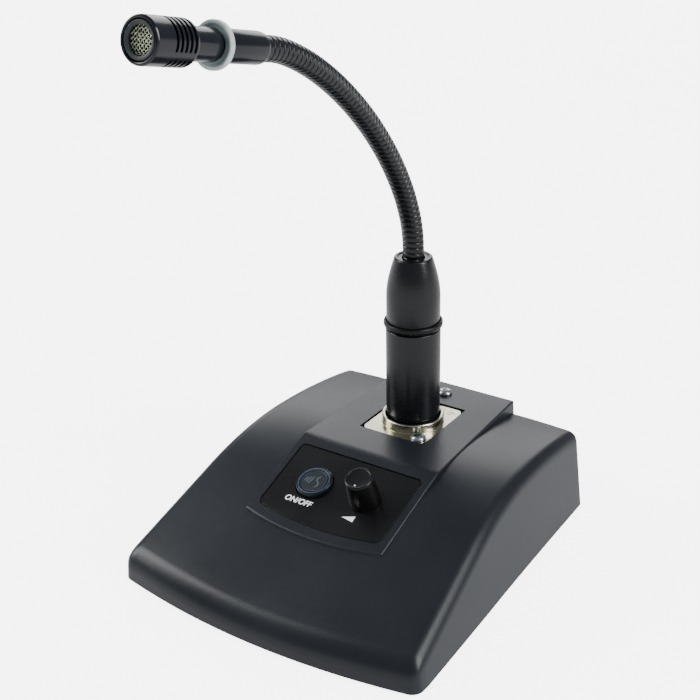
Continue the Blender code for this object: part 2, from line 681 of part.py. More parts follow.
# ---- stem ------------------------------------------------------------------------------------
def build_stem():
    barrel = [(8.0, BARREL_TOP + 5.4), (8.0, BARREL_TOP), (9.75, BARREL_TOP), (BARREL_RADIUS, BARREL_TOP - 0.2),
              (BARREL_RADIUS, 55.0), (BARREL_RADIUS, 39.2), (9.55, 38.6), (9.55, 22.0), (8.1, 22.0), (8.1, 50.0), (6.6, 52.0), (6.6, BARREL_TOP + 5.4)]
    turned("plug_barrel", barrel, FINE, BARREL_BLACK).parent = STEM
    low, high = BARREL_TOP + GAP, SLEEVE_BOTTOM + 1.3
    upper = arc_points((10.0, high - 0.65), 0.65, 90, 0, 3)
    lower = arc_points((9.3, low + 1.35), 1.35, 0, -90, 4)
    seat = SLEEVE_BOTTOM - GAP
    ring = upper + lower + [(8.3, low), (8.3, seat), (10.0, seat)]
    turned("stem_ring", ring, FINE, RUBBER).parent = STEM


def build_sleeve():
    rise = SLEEVE_TOP - 84.0
    bullet = []
    for i in range(8):
        share = i / 7
        radius = SLEEVE_RIM_RADIUS + (SLEEVE_RADIUS - SLEEVE_RIM_RADIUS) * math.sin(math.pi / 2 * share)
        bullet.append((radius, SLEEVE_TOP - 0.3 - (rise - 0.3) * share))
    profile = [(5.6, SLEEVE_TOP), (SLEEVE_RIM_RADIUS - 0.4, SLEEVE_TOP)] + bullet
    profile += [(SLEEVE_RADIUS, SLEEVE_BOTTOM), (8.35, SLEEVE_BOTTOM), (8.35, 80.5), (4.1, 80.5),
                (4.1, SLEEVE_TOP - 0.4), (5.4, SLEEVE_TOP - 0.4)]
    turned("stem_sleeve", profile, FINE, BARREL_BLACK).parent = STEM


def build_plug_inside():
    insert = capped("plug_insert", [(0.0, 45.0), (7.8, 45.0), (7.8, 38.0), (0.0, 38.0)], FINE, INSULATOR)
    insert.parent = STEM
    for i, (x, y) in enumerate(PIN_SPOTS):
        bore = rod("pin_bore_%d" % i, 1.5, 30.0, 50.0, SMALL, None, CUTTERS, (x, y))
        bore.parent = STEM
        boolean(insert, bore)
        profile = [(0.0, 47.0), (1.15, 47.0), (1.15, 23.6), (0.7, 22.6), (0.0, 22.4)]
        place(capped("plug_pin_%d" % (i + 1), profile, SMALL, GOLD), (x, y, 0.0), STEM)


# ---- flexible arm ----------------------------------------------------------------------------
def baked_mesh(item, name):
    """The evaluated mesh of an object, which is then removed."""
    depsgraph = bpy.context.evaluated_depsgraph_get()
    mesh = bpy.data.meshes.new_from_object(item.evaluated_get(depsgraph))
    mesh.name = name
    bpy.data.objects.remove(item, do_unlink=True)
    return mesh


def bend_mesh(mesh, length, degrees):
    """Curve a straight piece that runs along +Z towards -Y, with its total turn over length."""
    turn = math.radians(degrees)
    radius = length * MM / turn
    for vert in mesh.vertices:
        along = min(max(vert.co.z, 0.0), length * MM)
        beyond = vert.co.z - along
        angle = along / radius
        tangent = Vector((0.0, -math.sin(angle), math.cos(angle)))
        inward = Vector((0.0, -math.cos(angle), -math.sin(angle)))
        centre = Vector((0.0, -radius * (1 - math.cos(angle)), radius * math.sin(angle)))
        vert.co = centre + tangent * beyond - inward * vert.co.y + Vector((vert.co.x, 0.0, 0.0))


def ball(height):
    """Profile of the ball at a link's far end, from its pole down to the link's face."""
    face = -LINK_GAP / 2
    last = math.degrees(math.asin(face / BALL_RADIUS))
    points = arc_points((0.0, height), BALL_RADIUS, 90, last, 4)
    return [(0.0, points[0][1])] + points[1:]


def cup(height):
    """Profile of the cup at a link's near end, from its rim to its bottom on the axis."""
    face = height + LINK_GAP / 2
    return [(NECK_RADIUS, face + 0.2), (NECK_RADIUS - 0.2, face), (CUP_RADIUS, face),
            (CUP_RADIUS, face + 2.4), (0.0, face + 2.6)]


def link_profile(length, steps):
    face = length - LINK_GAP / 2
    walls = [(NECK_RADIUS, face - 0.2 - (length - LINK_GAP - 0.4) * i / steps) for i in range(steps)]
    return ball(length) + [(NECK_RADIUS - 0.2, face)] + walls + cup(0.0)


def step_along(at, angle, length, degrees):
    """The far end of a curved piece that starts at a point with a tangent angle from upright."""
    turn = math.radians(degrees)
    chord = 2 * length / turn * math.sin(turn / 2)
    middle = angle + turn / 2
    return (at[0] - chord * math.sin(middle), at[1] + chord * math.cos(middle)), angle + turn


def build_arm():
    root = ball(FIRST_JOINT_Z - 84.0)
    face = FIRST_JOINT_Z - 84.0 - LINK_GAP / 2
    root += [(NECK_RADIUS - 0.2, face), (NECK_RADIUS, face - 0.2), (NECK_RADIUS, 0.0), (0.0, 0.0)]
    place(capped("gooseneck_root", root, 12, ARM_BLACK), (0.0, 0.0, 84.0), STEM)
    at, angle = (0.0, FIRST_JOINT_Z), 0.0
    for i, degrees in enumerate(LINK_BENDS):
        name = "gooseneck_link_%d" % (i + 1)
        mesh = baked_mesh(capped(name + "_straight", link_profile(LINK_LENGTH, 4), 12, ARM_BLACK), name)
        bend_mesh(mesh, LINK_LENGTH, degrees)
        link = bpy.data.objects.new(name, mesh)
        PARTS.objects.link(link)
        place(link, (0.0, *at), STEM, (angle, 0.0, 0.0))
        at, angle = step_along(at, angle, LINK_LENGTH, degrees)
    return at, angle


# ---- microphone head -------------------------------------------------------------------------
def build_tip(at, angle):
    tip_end = TIP_BENT_LENGTH + 13.0
    profile = [(0.0, tip_end), (NECK_RADIUS, tip_end), (NECK_RADIUS, 6.0), (NECK_RADIUS, 3.2)] + cup(0.0)
    mesh = baked_mesh(capped("gooseneck_tip_straight", profile, 12, ARM_BLACK), "gooseneck_tip")
    bend_mesh(mesh, TIP_BENT_LENGTH, TIP_BEND)
    tip = bpy.data.objects.new("gooseneck_tip", mesh)
    PARTS.objects.link(tip)
    place(tip, (0.0, *at), STEM, (angle, 0.0, 0.0))
    return step_along(at, angle, TIP_BENT_LENGTH, TIP_BEND)


def build_ferrule(head):
    bore = NECK_RADIUS + GAP
    ferrule = [(bore, FERRULE_END), (FERRULE_RADIUS - 0.2, FERRULE_END), (FERRULE_RADIUS, FERRULE_END - 0.2),
               (FERRULE_RADIUS, FERRULE_START + 2.0), (FERRULE_RADIUS - 0.15, FERRULE_START + 0.8),
               (4.3, FERRULE_START), (bore, FERRULE_START)]
    turned("rear_ferrule", ferrule, COARSE, BARREL_BLACK).parent = head
    board = [(3.95, 23.3), (4.5, 23.3), (4.5, 22.5), (3.95, 22.5)]
    turned("ring_board", board, COARSE, BOARD_GREEN).parent = head
    low, high = LIGHT_RING
    ring = [(4.9, high - 0.9), (5.7, high - 0.35), (LIGHT_RING_RADIUS - 0.3, high),
            (LIGHT_RING_RADIUS, high - 0.35), (LIGHT_RING_RADIUS, low + 0.35),
            (LIGHT_RING_RADIUS - 0.3, low), (3.95, low), (3.95, high - 0.9)]
    turned("light_ring", ring, FINE, PEARL).parent = head


def build_head_shell(head):
    neck, spigot = 4.6, 3.55
    start = HEAD_START
    outer = [(5.4, HEAD_END - 0.2), (5.7, HEAD_END), (6.1, HEAD_END - 0.12), (HEAD_RADIUS, HEAD_END - 0.6),
             (HEAD_RADIUS, start + 1.3), (5.9, start + 0.35), (5.2, start), (neck, start),
             (neck, LIGHT_RING[1] + GAP), (spigot, LIGHT_RING[1] + GAP), (spigot, 20.0), (2.4, 20.0)]
    inner = [(2.4, start + 0.8), (5.4, start + 0.8)]
    shell = turned("head_shell", outer + inner, FINE, BARREL_BLACK)
    shell.parent = head
    for i in range(SLOT_COUNT):
        height = start + 1.7 + SLOT_PITCH * i
        groove = [(8.0, height + SLOT_WIDTH), (8.0, height), (4.6, height), (4.6, height + SLOT_WIDTH)]
        cutter = turned("slot_%d" % i, groove, FINE, None, CUTTERS)
        ribs = bars_of_slot(i, height)
        ribs.parent = head
        boolean(cutter, ribs)
        cutter.parent = head
        boolean(shell, cutter)


def bars_of_slot(i, height):
    """What a slot leaves standing: four ribs along the head."""
    bm = bmesh.new()
    for quarter in range(4):
        turn = Matrix.Rotation(math.radians(RIB_TURN + 90 * quarter), 4, "Z")
        middle = Vector((6.5, 0.0, height + SLOT_WIDTH / 2))
        shape = Matrix.Translation(turn @ middle * MM) @ turn
        size = Matrix.Diagonal((7.0 * MM, SLOT_RIB * MM, (SLOT_WIDTH + 1.0) * MM, 1.0))
        bmesh.ops.create_cube(bm, size=1.0, matrix=shape @ size)
    return finish_bmesh("slot_ribs_%d" % i, bm, None, CUTTERS)


def build_head_front(head):
    capsule = [(0.0, 51.3), (4.3, 51.3), (4.9, 50.9), (4.9, 47.6), (0.0, 47.6)]
    capped("capsule", capsule, COARSE, MESH_SILVER).parent = head
    grille = [(0.0, 52.5), (3.4, 52.2), (5.05, 52.0), (5.05, 51.6), (3.4, 51.8), (0.0, 52.1)]
    capped("grille", grille, COARSE, MESH_SILVER).parent = head
    ring = [(3.9, 53.5), (4.1, 53.7), (4.9, 53.85), (5.1, 53.6), (5.1, 52.4), (4.2, 52.5), (3.9, 52.6)]
    turned("grille_ring", ring, FINE, LIP_GREY).parent = head


def build_head(at, angle):
    head = frame_empty("head_frame", (0.0, *at), (angle, 0.0, 0.0), STEM)
    build_ferrule(head)
    build_head_shell(head)
    build_head_front(head)


# ---- assembly --------------------------------------------------------------------------------
build_housing()
build_base_plate()
build_feet_and_screws()
build_panel()
build_button()
build_knob()
build_socket()
build_socket_inside()
pan_screw("flange_screw_front", FLANGE_SCREWS[0], FLANGE_TOP + 0.1, 6.0)
pan_screw("flange_screw_rear", FLANGE_SCREWS[1], FLANGE_TOP + 0.1, 6.0)
pan_screw("platform_screw", PLATFORM_SCREW, PLATFORM_Z - STEM_Z + 0.1, 8.0)
build_output()
build_stem()
build_sleeve()
build_plug_inside()
arm_end, arm_angle = build_arm()
head_start, head_angle = build_tip(arm_end, arm_angle)
build_head(head_start, head_angle)
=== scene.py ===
"""Looks of the desktop gooseneck microphone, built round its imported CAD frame.

Metres, +X to the right, +Y to the back, +Z up. Lengths in the tables below are millimetres.
"""

import json
import math

import bmesh
import bpy
import numpy as np
from mathutils import Matrix, Vector

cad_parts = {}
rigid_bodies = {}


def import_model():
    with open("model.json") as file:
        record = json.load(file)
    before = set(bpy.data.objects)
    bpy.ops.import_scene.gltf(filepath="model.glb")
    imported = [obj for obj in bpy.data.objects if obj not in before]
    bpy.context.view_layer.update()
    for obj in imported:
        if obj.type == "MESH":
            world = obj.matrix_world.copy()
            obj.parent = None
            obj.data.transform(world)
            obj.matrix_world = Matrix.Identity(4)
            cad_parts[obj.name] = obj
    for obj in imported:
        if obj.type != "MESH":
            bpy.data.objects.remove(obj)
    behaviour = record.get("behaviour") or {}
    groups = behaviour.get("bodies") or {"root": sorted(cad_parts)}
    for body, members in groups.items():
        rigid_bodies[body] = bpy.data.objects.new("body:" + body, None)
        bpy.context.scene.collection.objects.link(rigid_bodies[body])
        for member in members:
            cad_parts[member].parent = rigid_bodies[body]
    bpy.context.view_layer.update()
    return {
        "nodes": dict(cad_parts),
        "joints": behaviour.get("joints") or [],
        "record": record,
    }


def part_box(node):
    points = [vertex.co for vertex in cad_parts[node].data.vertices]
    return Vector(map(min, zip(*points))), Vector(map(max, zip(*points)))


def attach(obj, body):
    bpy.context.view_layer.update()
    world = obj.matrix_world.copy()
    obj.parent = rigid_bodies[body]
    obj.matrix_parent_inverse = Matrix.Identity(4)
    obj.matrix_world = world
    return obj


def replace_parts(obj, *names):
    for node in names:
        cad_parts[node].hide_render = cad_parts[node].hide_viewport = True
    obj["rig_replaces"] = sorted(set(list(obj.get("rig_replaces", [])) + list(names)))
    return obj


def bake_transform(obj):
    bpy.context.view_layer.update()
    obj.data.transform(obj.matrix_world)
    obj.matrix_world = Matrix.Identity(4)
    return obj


MM = 0.001

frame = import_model()
JOINTS = {joint["name"]: joint for joint in frame["joints"]}


# ---- places taken from the frame --------------------------------------------------------------
def moved(*place):
    """A shift by millimetres."""
    return Matrix.Translation(Vector(place) * MM)


def middle(node):
    low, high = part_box(node)
    return (low + high) / 2


BARREL_BOTTOM = 22.0                       # heights in the stem's tables run from the stem frame
STEM_AT = Vector((0.0, middle("plug_barrel").y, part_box("plug_barrel")[0].z - BARREL_BOTTOM * MM))
STEM_FRAME = Matrix.Translation(STEM_AT)

KNOB_AT = Vector(JOINTS["volume_turn"]["pos_m"])
PANEL_NORMAL = Vector(JOINTS["volume_turn"]["axis"])
PANEL_TURN = Matrix.Rotation(math.atan2(-PANEL_NORMAL.y, PANEL_NORMAL.z), 4, "X")
CONTROL_X, CONTROL_DOWN = 10.5, 19.5
PANEL_FRAME = (Matrix.Translation(KNOB_AT) @ PANEL_TURN
               @ moved(-CONTROL_X, CONTROL_DOWN, 0.0))
KNOB_FRAME = PANEL_FRAME @ moved(CONTROL_X, -CONTROL_DOWN, 0.0)
BUTTON_FRAME = PANEL_FRAME @ moved(-CONTROL_X, -CONTROL_DOWN, 0.0)
PANEL_SLOPE = math.atan2(-PANEL_NORMAL.y, PANEL_NORMAL.z)
PLATFORM_Z = PANEL_FRAME.translation.z / MM
PANEL_TOP_Y = PANEL_FRAME.translation.y / MM
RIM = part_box("housing")[0].z / MM

FLANGE_THICK = 1.5
OUTPUT_AT = Vector((0.0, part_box("output_shell")[1].y - FLANGE_THICK * MM,
                    middle("output_shell").z))
OUTPUT_FRAME = Matrix.Translation(OUTPUT_AT) @ Matrix.Rotation(-math.pi / 2, 4, "X")

ARM_JOINTS = sorted((joint for name, joint in JOINTS.items() if name.startswith("arm_")),
                    key=lambda joint: int(joint["name"].rsplit("_", 1)[1]))
ARM_POINTS = [(joint["pos_m"][1] / MM, joint["pos_m"][2] / MM) for joint in ARM_JOINTS]
TIP_BENT_LENGTH, TIP_BEND = 8.0, math.radians(10.2)


def arm_angles():
    """Tangent angle from upright at each joint, for arcs that run on smoothly."""
    angles = [0.0]
    for near, far in zip(ARM_POINTS, ARM_POINTS[1:]):
        chord = math.atan2(near[0] - far[0], far[1] - near[1])
        angles.append(2 * chord - angles[-1])
    return angles


def step_along(at, angle, length, turn):
    """The far end of an arc that starts at a point with a tangent angle from upright."""
    chord = 2 * length / turn * math.sin(turn / 2) if abs(turn) > 1e-9 else length
    way = angle + turn / 2
    return (at[0] - chord * math.sin(way), at[1] + chord * math.cos(way)), angle + turn


ARM_ANGLES = arm_angles()
HEAD_AT, HEAD_ANGLE = step_along(ARM_POINTS[-1], ARM_ANGLES[-1], TIP_BENT_LENGTH, TIP_BEND)
HEAD_FRAME = moved(0.0, *HEAD_AT) @ Matrix.Rotation(HEAD_ANGLE, 4, "X")


# ---- materials --------------------------------------------------------------------------------
def node_maker(tree):
    def make(kind, inputs=None, **settings):
        node = tree.nodes.new(kind)
        for key, value in settings.items():
            setattr(node, key, value)
        for key, value in (inputs or {}).items():
            if isinstance(value, bpy.types.NodeSocket):
                tree.links.new(value, node.inputs[key])
            else:
                node.inputs[key].default_value = value
        return node
    return make


def finish_material(name, colour, rough, metallic=0.0, spread=0.25, patch=60.0, grain=2600.0,
                    bump=0.04, stretch=(1.0, 1.0, 1.0), rough_spread=0.06, tint=None, axis=None,
                    specular=None, sub=None, emit=None):
    """A finish with slow colour change, varied roughness and a fine grained or drawn surface."""
    material = bpy.data.materials.new(name)
    material.use_nodes = True
    tree = material.node_tree
    shader = tree.nodes["Principled BSDF"]
    make = node_maker(tree)
    place = make("ShaderNodeTexCoord").outputs["Object"]
    if axis is not None:
        turn = make("ShaderNodeMapping", {"Vector": place, "Rotation": axis})
        place = turn.outputs["Vector"]
    slow = make("ShaderNodeTexNoise", {"Vector": place, "Scale": patch, "Detail": 4.0,
                                       "Roughness": 0.55})
    drawn = make("ShaderNodeMapping", {"Vector": place, "Scale": stretch})
    fine = make("ShaderNodeTexNoise", {"Vector": drawn.outputs["Vector"], "Scale": grain,
                                       "Detail": 3.0, "Roughness": 0.6})
    dark = [max(0.0, part * (1 - spread)) for part in colour]
    light = list(tint or [part * (1 + spread) for part in colour])
    shades = make("ShaderNodeValToRGB", {"Fac": slow.outputs["Fac"]})
    shades.color_ramp.elements[0].position, shades.color_ramp.elements[1].position = 0.32, 0.68
    shades.color_ramp.elements[0].color = (*dark, 1.0)
    shades.color_ramp.elements[1].color = (*light, 1.0)
    speckle = make("ShaderNodeMix", {"Factor": 0.12}, data_type="RGBA", blend_type="MULTIPLY")
    tree.links.new(shades.outputs["Color"], speckle.inputs["A"])
    tree.links.new(fine.outputs["Fac"], speckle.inputs["B"])
    tree.links.new(speckle.outputs["Result"], shader.inputs["Base Color"])
    level = make("ShaderNodeMath", {0: slow.outputs["Fac"], 1: fine.outputs["Fac"]},
                 operation="ADD")
    roughness = make("ShaderNodeMapRange", {
        "Value": level.outputs["Value"], "From Min": 0.6, "From Max": 1.4,
        "To Min": max(0.02, rough - rough_spread), "To Max": min(1.0, rough + rough_spread)})
    tree.links.new(roughness.outputs["Result"], shader.inputs["Roughness"])
    raised = make("ShaderNodeBump", {"Strength": 1.0, "Distance": bump * MM,
                                     "Height": fine.outputs["Fac"]})
    tree.links.new(raised.outputs["Normal"], shader.inputs["Normal"])
    shader.inputs["Metallic"].default_value = metallic
    if specular is not None:
        shader.inputs["Specular IOR Level"].default_value = specular
    if sub is not None:
        shader.inputs["Subsurface Weight"].default_value = sub
        shader.inputs["Subsurface Scale"].default_value = 1.5 * MM
        shader.inputs["Subsurface Radius"].default_value = (1.0, 0.9, 0.8)
    if emit is not None:
        shader.inputs["Emission Color"].default_value = (*emit[0], 1.0)
        shader.inputs["Emission Strength"].default_value = emit[1]
    material.diffuse_color = (*colour, 1.0)
    return material


ROUND_Z = (0.12, 0.12, 1.0)                # a turned part: fine lines round its Z axis
HEAD_TILT = (-HEAD_ANGLE, 0.0, 0.0)
SATIN = finish_material("moulded_satin_black", (0.0110, 0.0135, 0.0185), 0.34, spread=0.14,
                        patch=28.0, grain=1900.0, bump=0.035, rough_spread=0.05, specular=0.34)
PLATE = finish_material("plate_black", (0.0060, 0.0060, 0.0070), 0.30, spread=0.18, patch=45.0,
                        grain=3200.0, bump=0.012, specular=0.3)
CAP = finish_material("button_satin", (0.012, 0.017, 0.023), 0.36, spread=0.15, patch=90.0,
                      bump=0.012)
CAP_RING = finish_material("button_ring_blue", (0.040, 0.072, 0.125), 0.30, spread=0.2,
                           patch=220.0, bump=0.006, tint=(0.052, 0.092, 0.155))
KNOB = finish_material("knob_black", (0.0045, 0.0045, 0.0048), 0.32, spread=0.2, patch=120.0,
                       bump=0.012, specular=0.3)
# White print that also glows: the emission is painted light that keeps the print bright. The
# switch words, the level wedge and the knob's dot use it.
PRINT_PAINTED_GLOW = finish_material("print_white_painted_glow", (0.80, 0.82, 0.84), 0.55, spread=0.05, patch=400.0,
                        bump=0.004, emit=((0.9, 0.97, 1.0), 0.55))
NICKEL = finish_material("nickel_plate", (0.50, 0.475, 0.36), 0.22, 1.0, spread=0.16, patch=130.0,
                         grain=1500.0, bump=0.010, rough_spread=0.08, tint=(0.62, 0.60, 0.49))
ZINC = finish_material("zinc_screw", (0.46, 0.49, 0.51), 0.24, 1.0, spread=0.22, patch=420.0,
                       grain=2400.0, bump=0.012, rough_spread=0.09)
STEEL = finish_material("powder_steel", (0.022, 0.023, 0.025), 0.55, 0.1, spread=0.3, patch=50.0,
                        grain=1100.0, bump=0.06)
RUBBER = finish_material("rubber_black", (0.011, 0.011, 0.012), 0.62, spread=0.25, patch=90.0,
                         grain=1500.0, bump=0.03)
RING_RUBBER = finish_material("ring_rubber", (0.0050, 0.0055, 0.0062), 0.36, spread=0.2,
                              patch=150.0, grain=1800.0, bump=0.015, specular=0.25)
BARREL = finish_material("anodised_black", (0.0050, 0.0058, 0.0078), 0.27, 0.0, spread=0.16,
                         patch=60.0, grain=2600.0, bump=0.010, stretch=ROUND_Z, specular=0.40)
HEAD_BLACK = finish_material("head_gloss_black", (0.0048, 0.0060, 0.0105), 0.20, 0.0, spread=0.2,
                             patch=90.0, grain=2600.0, bump=0.008, stretch=ROUND_Z,
                             axis=HEAD_TILT, specular=0.42)
COIL = finish_material("coil_black", (0.0050, 0.0058, 0.0080), 0.24, 0.0, spread=0.25,
                       patch=160.0, grain=2400.0, bump=0.012, rough_spread=0.08, specular=0.36)
LIP = finish_material("lip_grey", (0.026, 0.038, 0.038), 0.40, spread=0.15, patch=200.0,
                      bump=0.010)
PEARL = finish_material("pearl_ring", (0.47, 0.55, 0.53), 0.26, spread=0.12, patch=160.0,
                        bump=0.006, tint=(0.70, 0.77, 0.75), sub=0.25)
# A darker grey for the inner cone of the light ring: painted shade in its hollow.
RING_CONE_PAINTED_SHADE = finish_material("ring_cone_painted_shade", (0.27, 0.33, 0.34), 0.30, spread=0.2, patch=160.0,
                            bump=0.006)
WIRE = finish_material("mesh_wire", (0.80, 0.84, 0.64), 0.30, 0.85, spread=0.15, patch=700.0,
                       bump=0.004)
# Near-black, dull finish used as painted shade: in the arm's grooves, on a sheet behind the head's
# slots, and on the capsule behind the grille.
PAINTED_SHADE_BLACK = finish_material("painted_shade_black", (0.004, 0.004, 0.005), 0.7, spread=0.3, bump=0.02)
INSULATOR = finish_material("insulator_black", (0.013, 0.013, 0.014), 0.45, spread=0.2,
                            bump=0.02)
GOLD = finish_material("gold_contact", (0.78, 0.56, 0.22), 0.22, 1.0, spread=0.12, patch=300.0,
                       bump=0.006)
BOARD = finish_material("circuit_green", (0.020, 0.105, 0.050), 0.42, spread=0.3, patch=300.0,
                        bump=0.02)
MARK = finish_material("pictogram_blue_grey", (0.085, 0.115, 0.150), 0.4, spread=0.15,
                       patch=300.0, bump=0.004)


# ---- mesh helpers -----------------------------------------------------------------------------
def linked(name, data):
    item = bpy.data.objects.new(name, data)
    bpy.context.scene.collection.objects.link(item)
    return item


def add_piece(name, mesh, material, body=None, replaces=()):
    piece = linked(name, mesh)
    if material:
        mesh.materials.append(material)
    if body:
        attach(piece, body)
    if replaces:
        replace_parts(piece, *replaces)
    return piece


def mesh_from(bm, name, matrix=None, smooth=True):
    bmesh.ops.recalc_face_normals(bm, faces=bm.faces)
    if matrix is not None:
        bm.transform(matrix)
    for face in bm.faces:
        face.smooth = smooth
    mesh = bpy.data.meshes.new(name)
    bm.to_mesh(mesh)
    bm.free()
    return mesh


def sharpen(mesh, degrees=35.0):
    mesh.set_sharp_from_angle(angle=math.radians(degrees))
    return mesh


def skin_rings(bm, rings):
    """Faces between neighbouring rings of vertices, and one over each end."""
    for near, far in zip(rings, rings[1:]):
        for j in range(len(near)):
            k = (j + 1) % len(near)
            bm.faces.new((near[j], near[k], far[k], far[j]))
    bm.faces.new(rings[0])
    bm.faces.new(rings[-1])


def turned_bmesh(profile, sides):
    """A closed surface of revolution about Z, from (radius, height) points in millimetres."""
    bm = bmesh.new()
    rings = []
    for radius, height in profile:
        if radius < 1e-6:
            rings.append([bm.verts.new((0.0, 0.0, height * MM))])
            continue
        ring = []
        for i in range(sides):
            angle = math.tau * i / sides
            ring.append(bm.verts.new((radius * MM * math.cos(angle),
                                      radius * MM * math.sin(angle), height * MM)))
        rings.append(ring)
    loop = list(zip(rings, rings[1:]))
    if len(rings[0]) > 1 and len(rings[-1]) > 1:
        loop.append((rings[-1], rings[0]))
    for lower, upper in loop:
        for i in range(sides):
            j = (i + 1) % sides
            corners = [lower[i % len(lower)], lower[j % len(lower)],
                       upper[j % len(upper)], upper[i % len(upper)]]
            kept = [v for k, v in enumerate(corners) if v not in corners[:k]]
            if len(kept) > 2:
                bm.faces.new(kept)
    return bm


def rounded(profile, radius=0.15, steps=2, closed=True):
    """The profile with its corners rounded, except the points on the axis."""
    count = len(profile)
    out = []
    for i, point in enumerate(profile):
        here = Vector(point)
        before = Vector(profile[i - 1] if closed or i else profile[0])
        after = Vector(profile[(i + 1) % count] if closed or i < count - 1 else profile[-1])
        back, on = before - here, after - here
        if here.x < 1e-6 or back.length < 1e-6 or on.length < 1e-6:
            out.append(tuple(here))
            continue
        turn = math.pi - back.angle(on)
        cut = min(radius * math.tan(turn / 2), back.length * 0.4, on.length * 0.4)
        if turn < math.radians(12) or cut < 0.01:
            out.append(tuple(here))
            continue
        start, end = here + back.normalized() * cut, here + on.normalized() * cut
        for k in range(steps + 1):
            t = k / steps
            bend = start.lerp(here, t).lerp(here.lerp(end, t), t)
            out.append(tuple(bend))
    return out


def lathe(name, profile, sides, matrix, material, body, replaces=(), radius=0.15,
          degrees=40.0):
    """A turned piece with rounded corners, standing along the matrix's Z axis."""
    closed = profile[0][0] > 1e-6 or profile[-1][0] > 1e-6
    shape = rounded(profile, radius, closed=closed) if radius else profile
    mesh = sharpen(mesh_from(turned_bmesh(shape, sides), name, matrix), degrees)
    return add_piece(name, mesh, material, body, replaces)


def solid_of(item):
    """The evaluated mesh of a helper object, which is then removed."""
    bpy.context.view_layer.update()
    depsgraph = bpy.context.evaluated_depsgraph_get()
    mesh = bpy.data.meshes.new_from_object(item.evaluated_get(depsgraph))
    bpy.data.objects.remove(item, do_unlink=True)
    return mesh


def helper(name, bm, matrix=None):
    """A flat-shaded object to carve, or to carve with."""
    return linked(name, mesh_from(bm, name, matrix, False))


def carve(item, tool, operation="DIFFERENCE"):
    """Apply one boolean step with a helper object, and remove the helper."""
    step = item.modifiers.new("step", "BOOLEAN")
    step.operation = operation
    step.solver = "EXACT"
    step.object = tool
    name = item.name
    mesh = solid_of(item)
    bpy.data.objects.remove(tool, do_unlink=True)
    return linked(name, mesh)


def carved_piece(item, material, body, node, sharp, edge):
    """The finished piece that a carved helper stands for, named after the helper."""
    name, mesh = item.name, item.data
    bpy.data.objects.remove(item)
    mesh.shade_smooth()
    sharpen(mesh, sharp)
    soften_edges(add_piece(name, mesh, material, body, (node,)), *edge)


def box_bmesh(low, high):
    bm = bmesh.new()
    bmesh.ops.create_cube(bm, size=1.0)
    low, high = Vector(low) * MM, Vector(high) * MM
    bmesh.ops.scale(bm, vec=high - low, verts=bm.verts)
    bmesh.ops.translate(bm, vec=(low + high) / 2, verts=bm.verts)
    return bm


def rod_bmesh(radius, low, high, sides, at=(0.0, 0.0)):
    bm = bmesh.new()
    bmesh.ops.create_cone(bm, cap_ends=True, segments=sides, radius1=radius * MM,
                          radius2=radius * MM, depth=(high - low) * MM)
    bmesh.ops.translate(bm, vec=Vector((at[0], at[1], (low + high) / 2)) * MM, verts=bm.verts)
    return bm


def prism_bmesh(outline, low, high):
    """A flat plate from an outline in millimetres."""
    bm = bmesh.new()
    face = bm.faces.new([bm.verts.new((x * MM, y * MM, low * MM)) for x, y in outline])
    top = bmesh.ops.extrude_face_region(bm, geom=[face])["geom"]
    moved = [part for part in top if isinstance(part, bmesh.types.BMVert)]
    bmesh.ops.translate(bm, vec=(0.0, 0.0, (high - low) * MM), verts=moved)
    return bm


def soften_edges(piece, width, segments=2, degrees=32.0):
    """Small rounded edges that catch the light."""
    step = piece.modifiers.new("edges", "BEVEL")
    step.width = width * MM
    step.segments = segments
    step.limit_method = "ANGLE"
    step.angle_limit = math.radians(degrees)
    step.harden_normals = False
    step.use_clamp_overlap = True
    shade = piece.modifiers.new("shade", "WEIGHTED_NORMAL")
    shade.keep_sharp = True
    shade.weight = 60


# ---- housing ----------------------------------------------------------------------------------
WALL = 2.4
FRONT_WIDTH, BACK_WIDTH, BASE_BACK = 119.0, 110.4, 67.0
FRONT_CORNER, FRONT_BULGE = -63.0, 6.6
SIDE_DRAFT, BACK_DRAFT = math.tan(math.radians(6.0)), math.tan(math.radians(3.0))
SIDE_FILLET, FRONT_FILLET, BACK_FILLET, CORNER = 5.0, 6.0, 2.5, 3.0
CREST_Y, CREST_Z = 20.0, 36.8
FRONT_ARC, REAR_ARC, FRONT_SLOPE = 105.0, 220.0, math.radians(21.0)
CROWN_START, CROWN = 26.0, 0.0012
PLATFORM_BACK_HALF, PLATFORM_FRONT_HALF = 25.2, 28.2
PANEL_ROUND, PANEL_LENGTH, PANEL_BULGE = 10.0, 38.0, 3.4
PLATE_TOP, PLATE_BOTTOM, PLATE_BULGE, PLATE_HALF, PLATE_POCKET = 4.3, 34.2, 2.9, 25.3, 1.5
PLATE_LIFT = -0.2
FLANGE_TOP, LEDGE_TOP = 34.5, 32.6
FLANGE_SCREWS, PLATFORM_SCREW = ((9.5, -12.0), (-9.5, 12.0)), (0.0, 23.5)
SCREW_SPOTS = ((-47.0, 40.0), (47.0, 40.0), (-43.0, -30.0), (43.0, -30.0))


def housing_top(x, y):
    """Height of the top: an arc over the crest, a straight slope in front, lower at the sides."""
    ahead = CREST_Y - y
    straight = FRONT_ARC * math.sin(FRONT_SLOPE)
    if ahead < 0:
        fall = REAR_ARC - math.sqrt(REAR_ARC ** 2 - ahead ** 2)
    elif ahead < straight:
        fall = FRONT_ARC - math.sqrt(FRONT_ARC ** 2 - ahead ** 2)
    else:
        fall = (FRONT_ARC * (1 - math.cos(FRONT_SLOPE))
                + (ahead - straight) * math.tan(FRONT_SLOPE))
    return CREST_Z - fall - CROWN * max(0.0, abs(x) - CROWN_START) ** 2


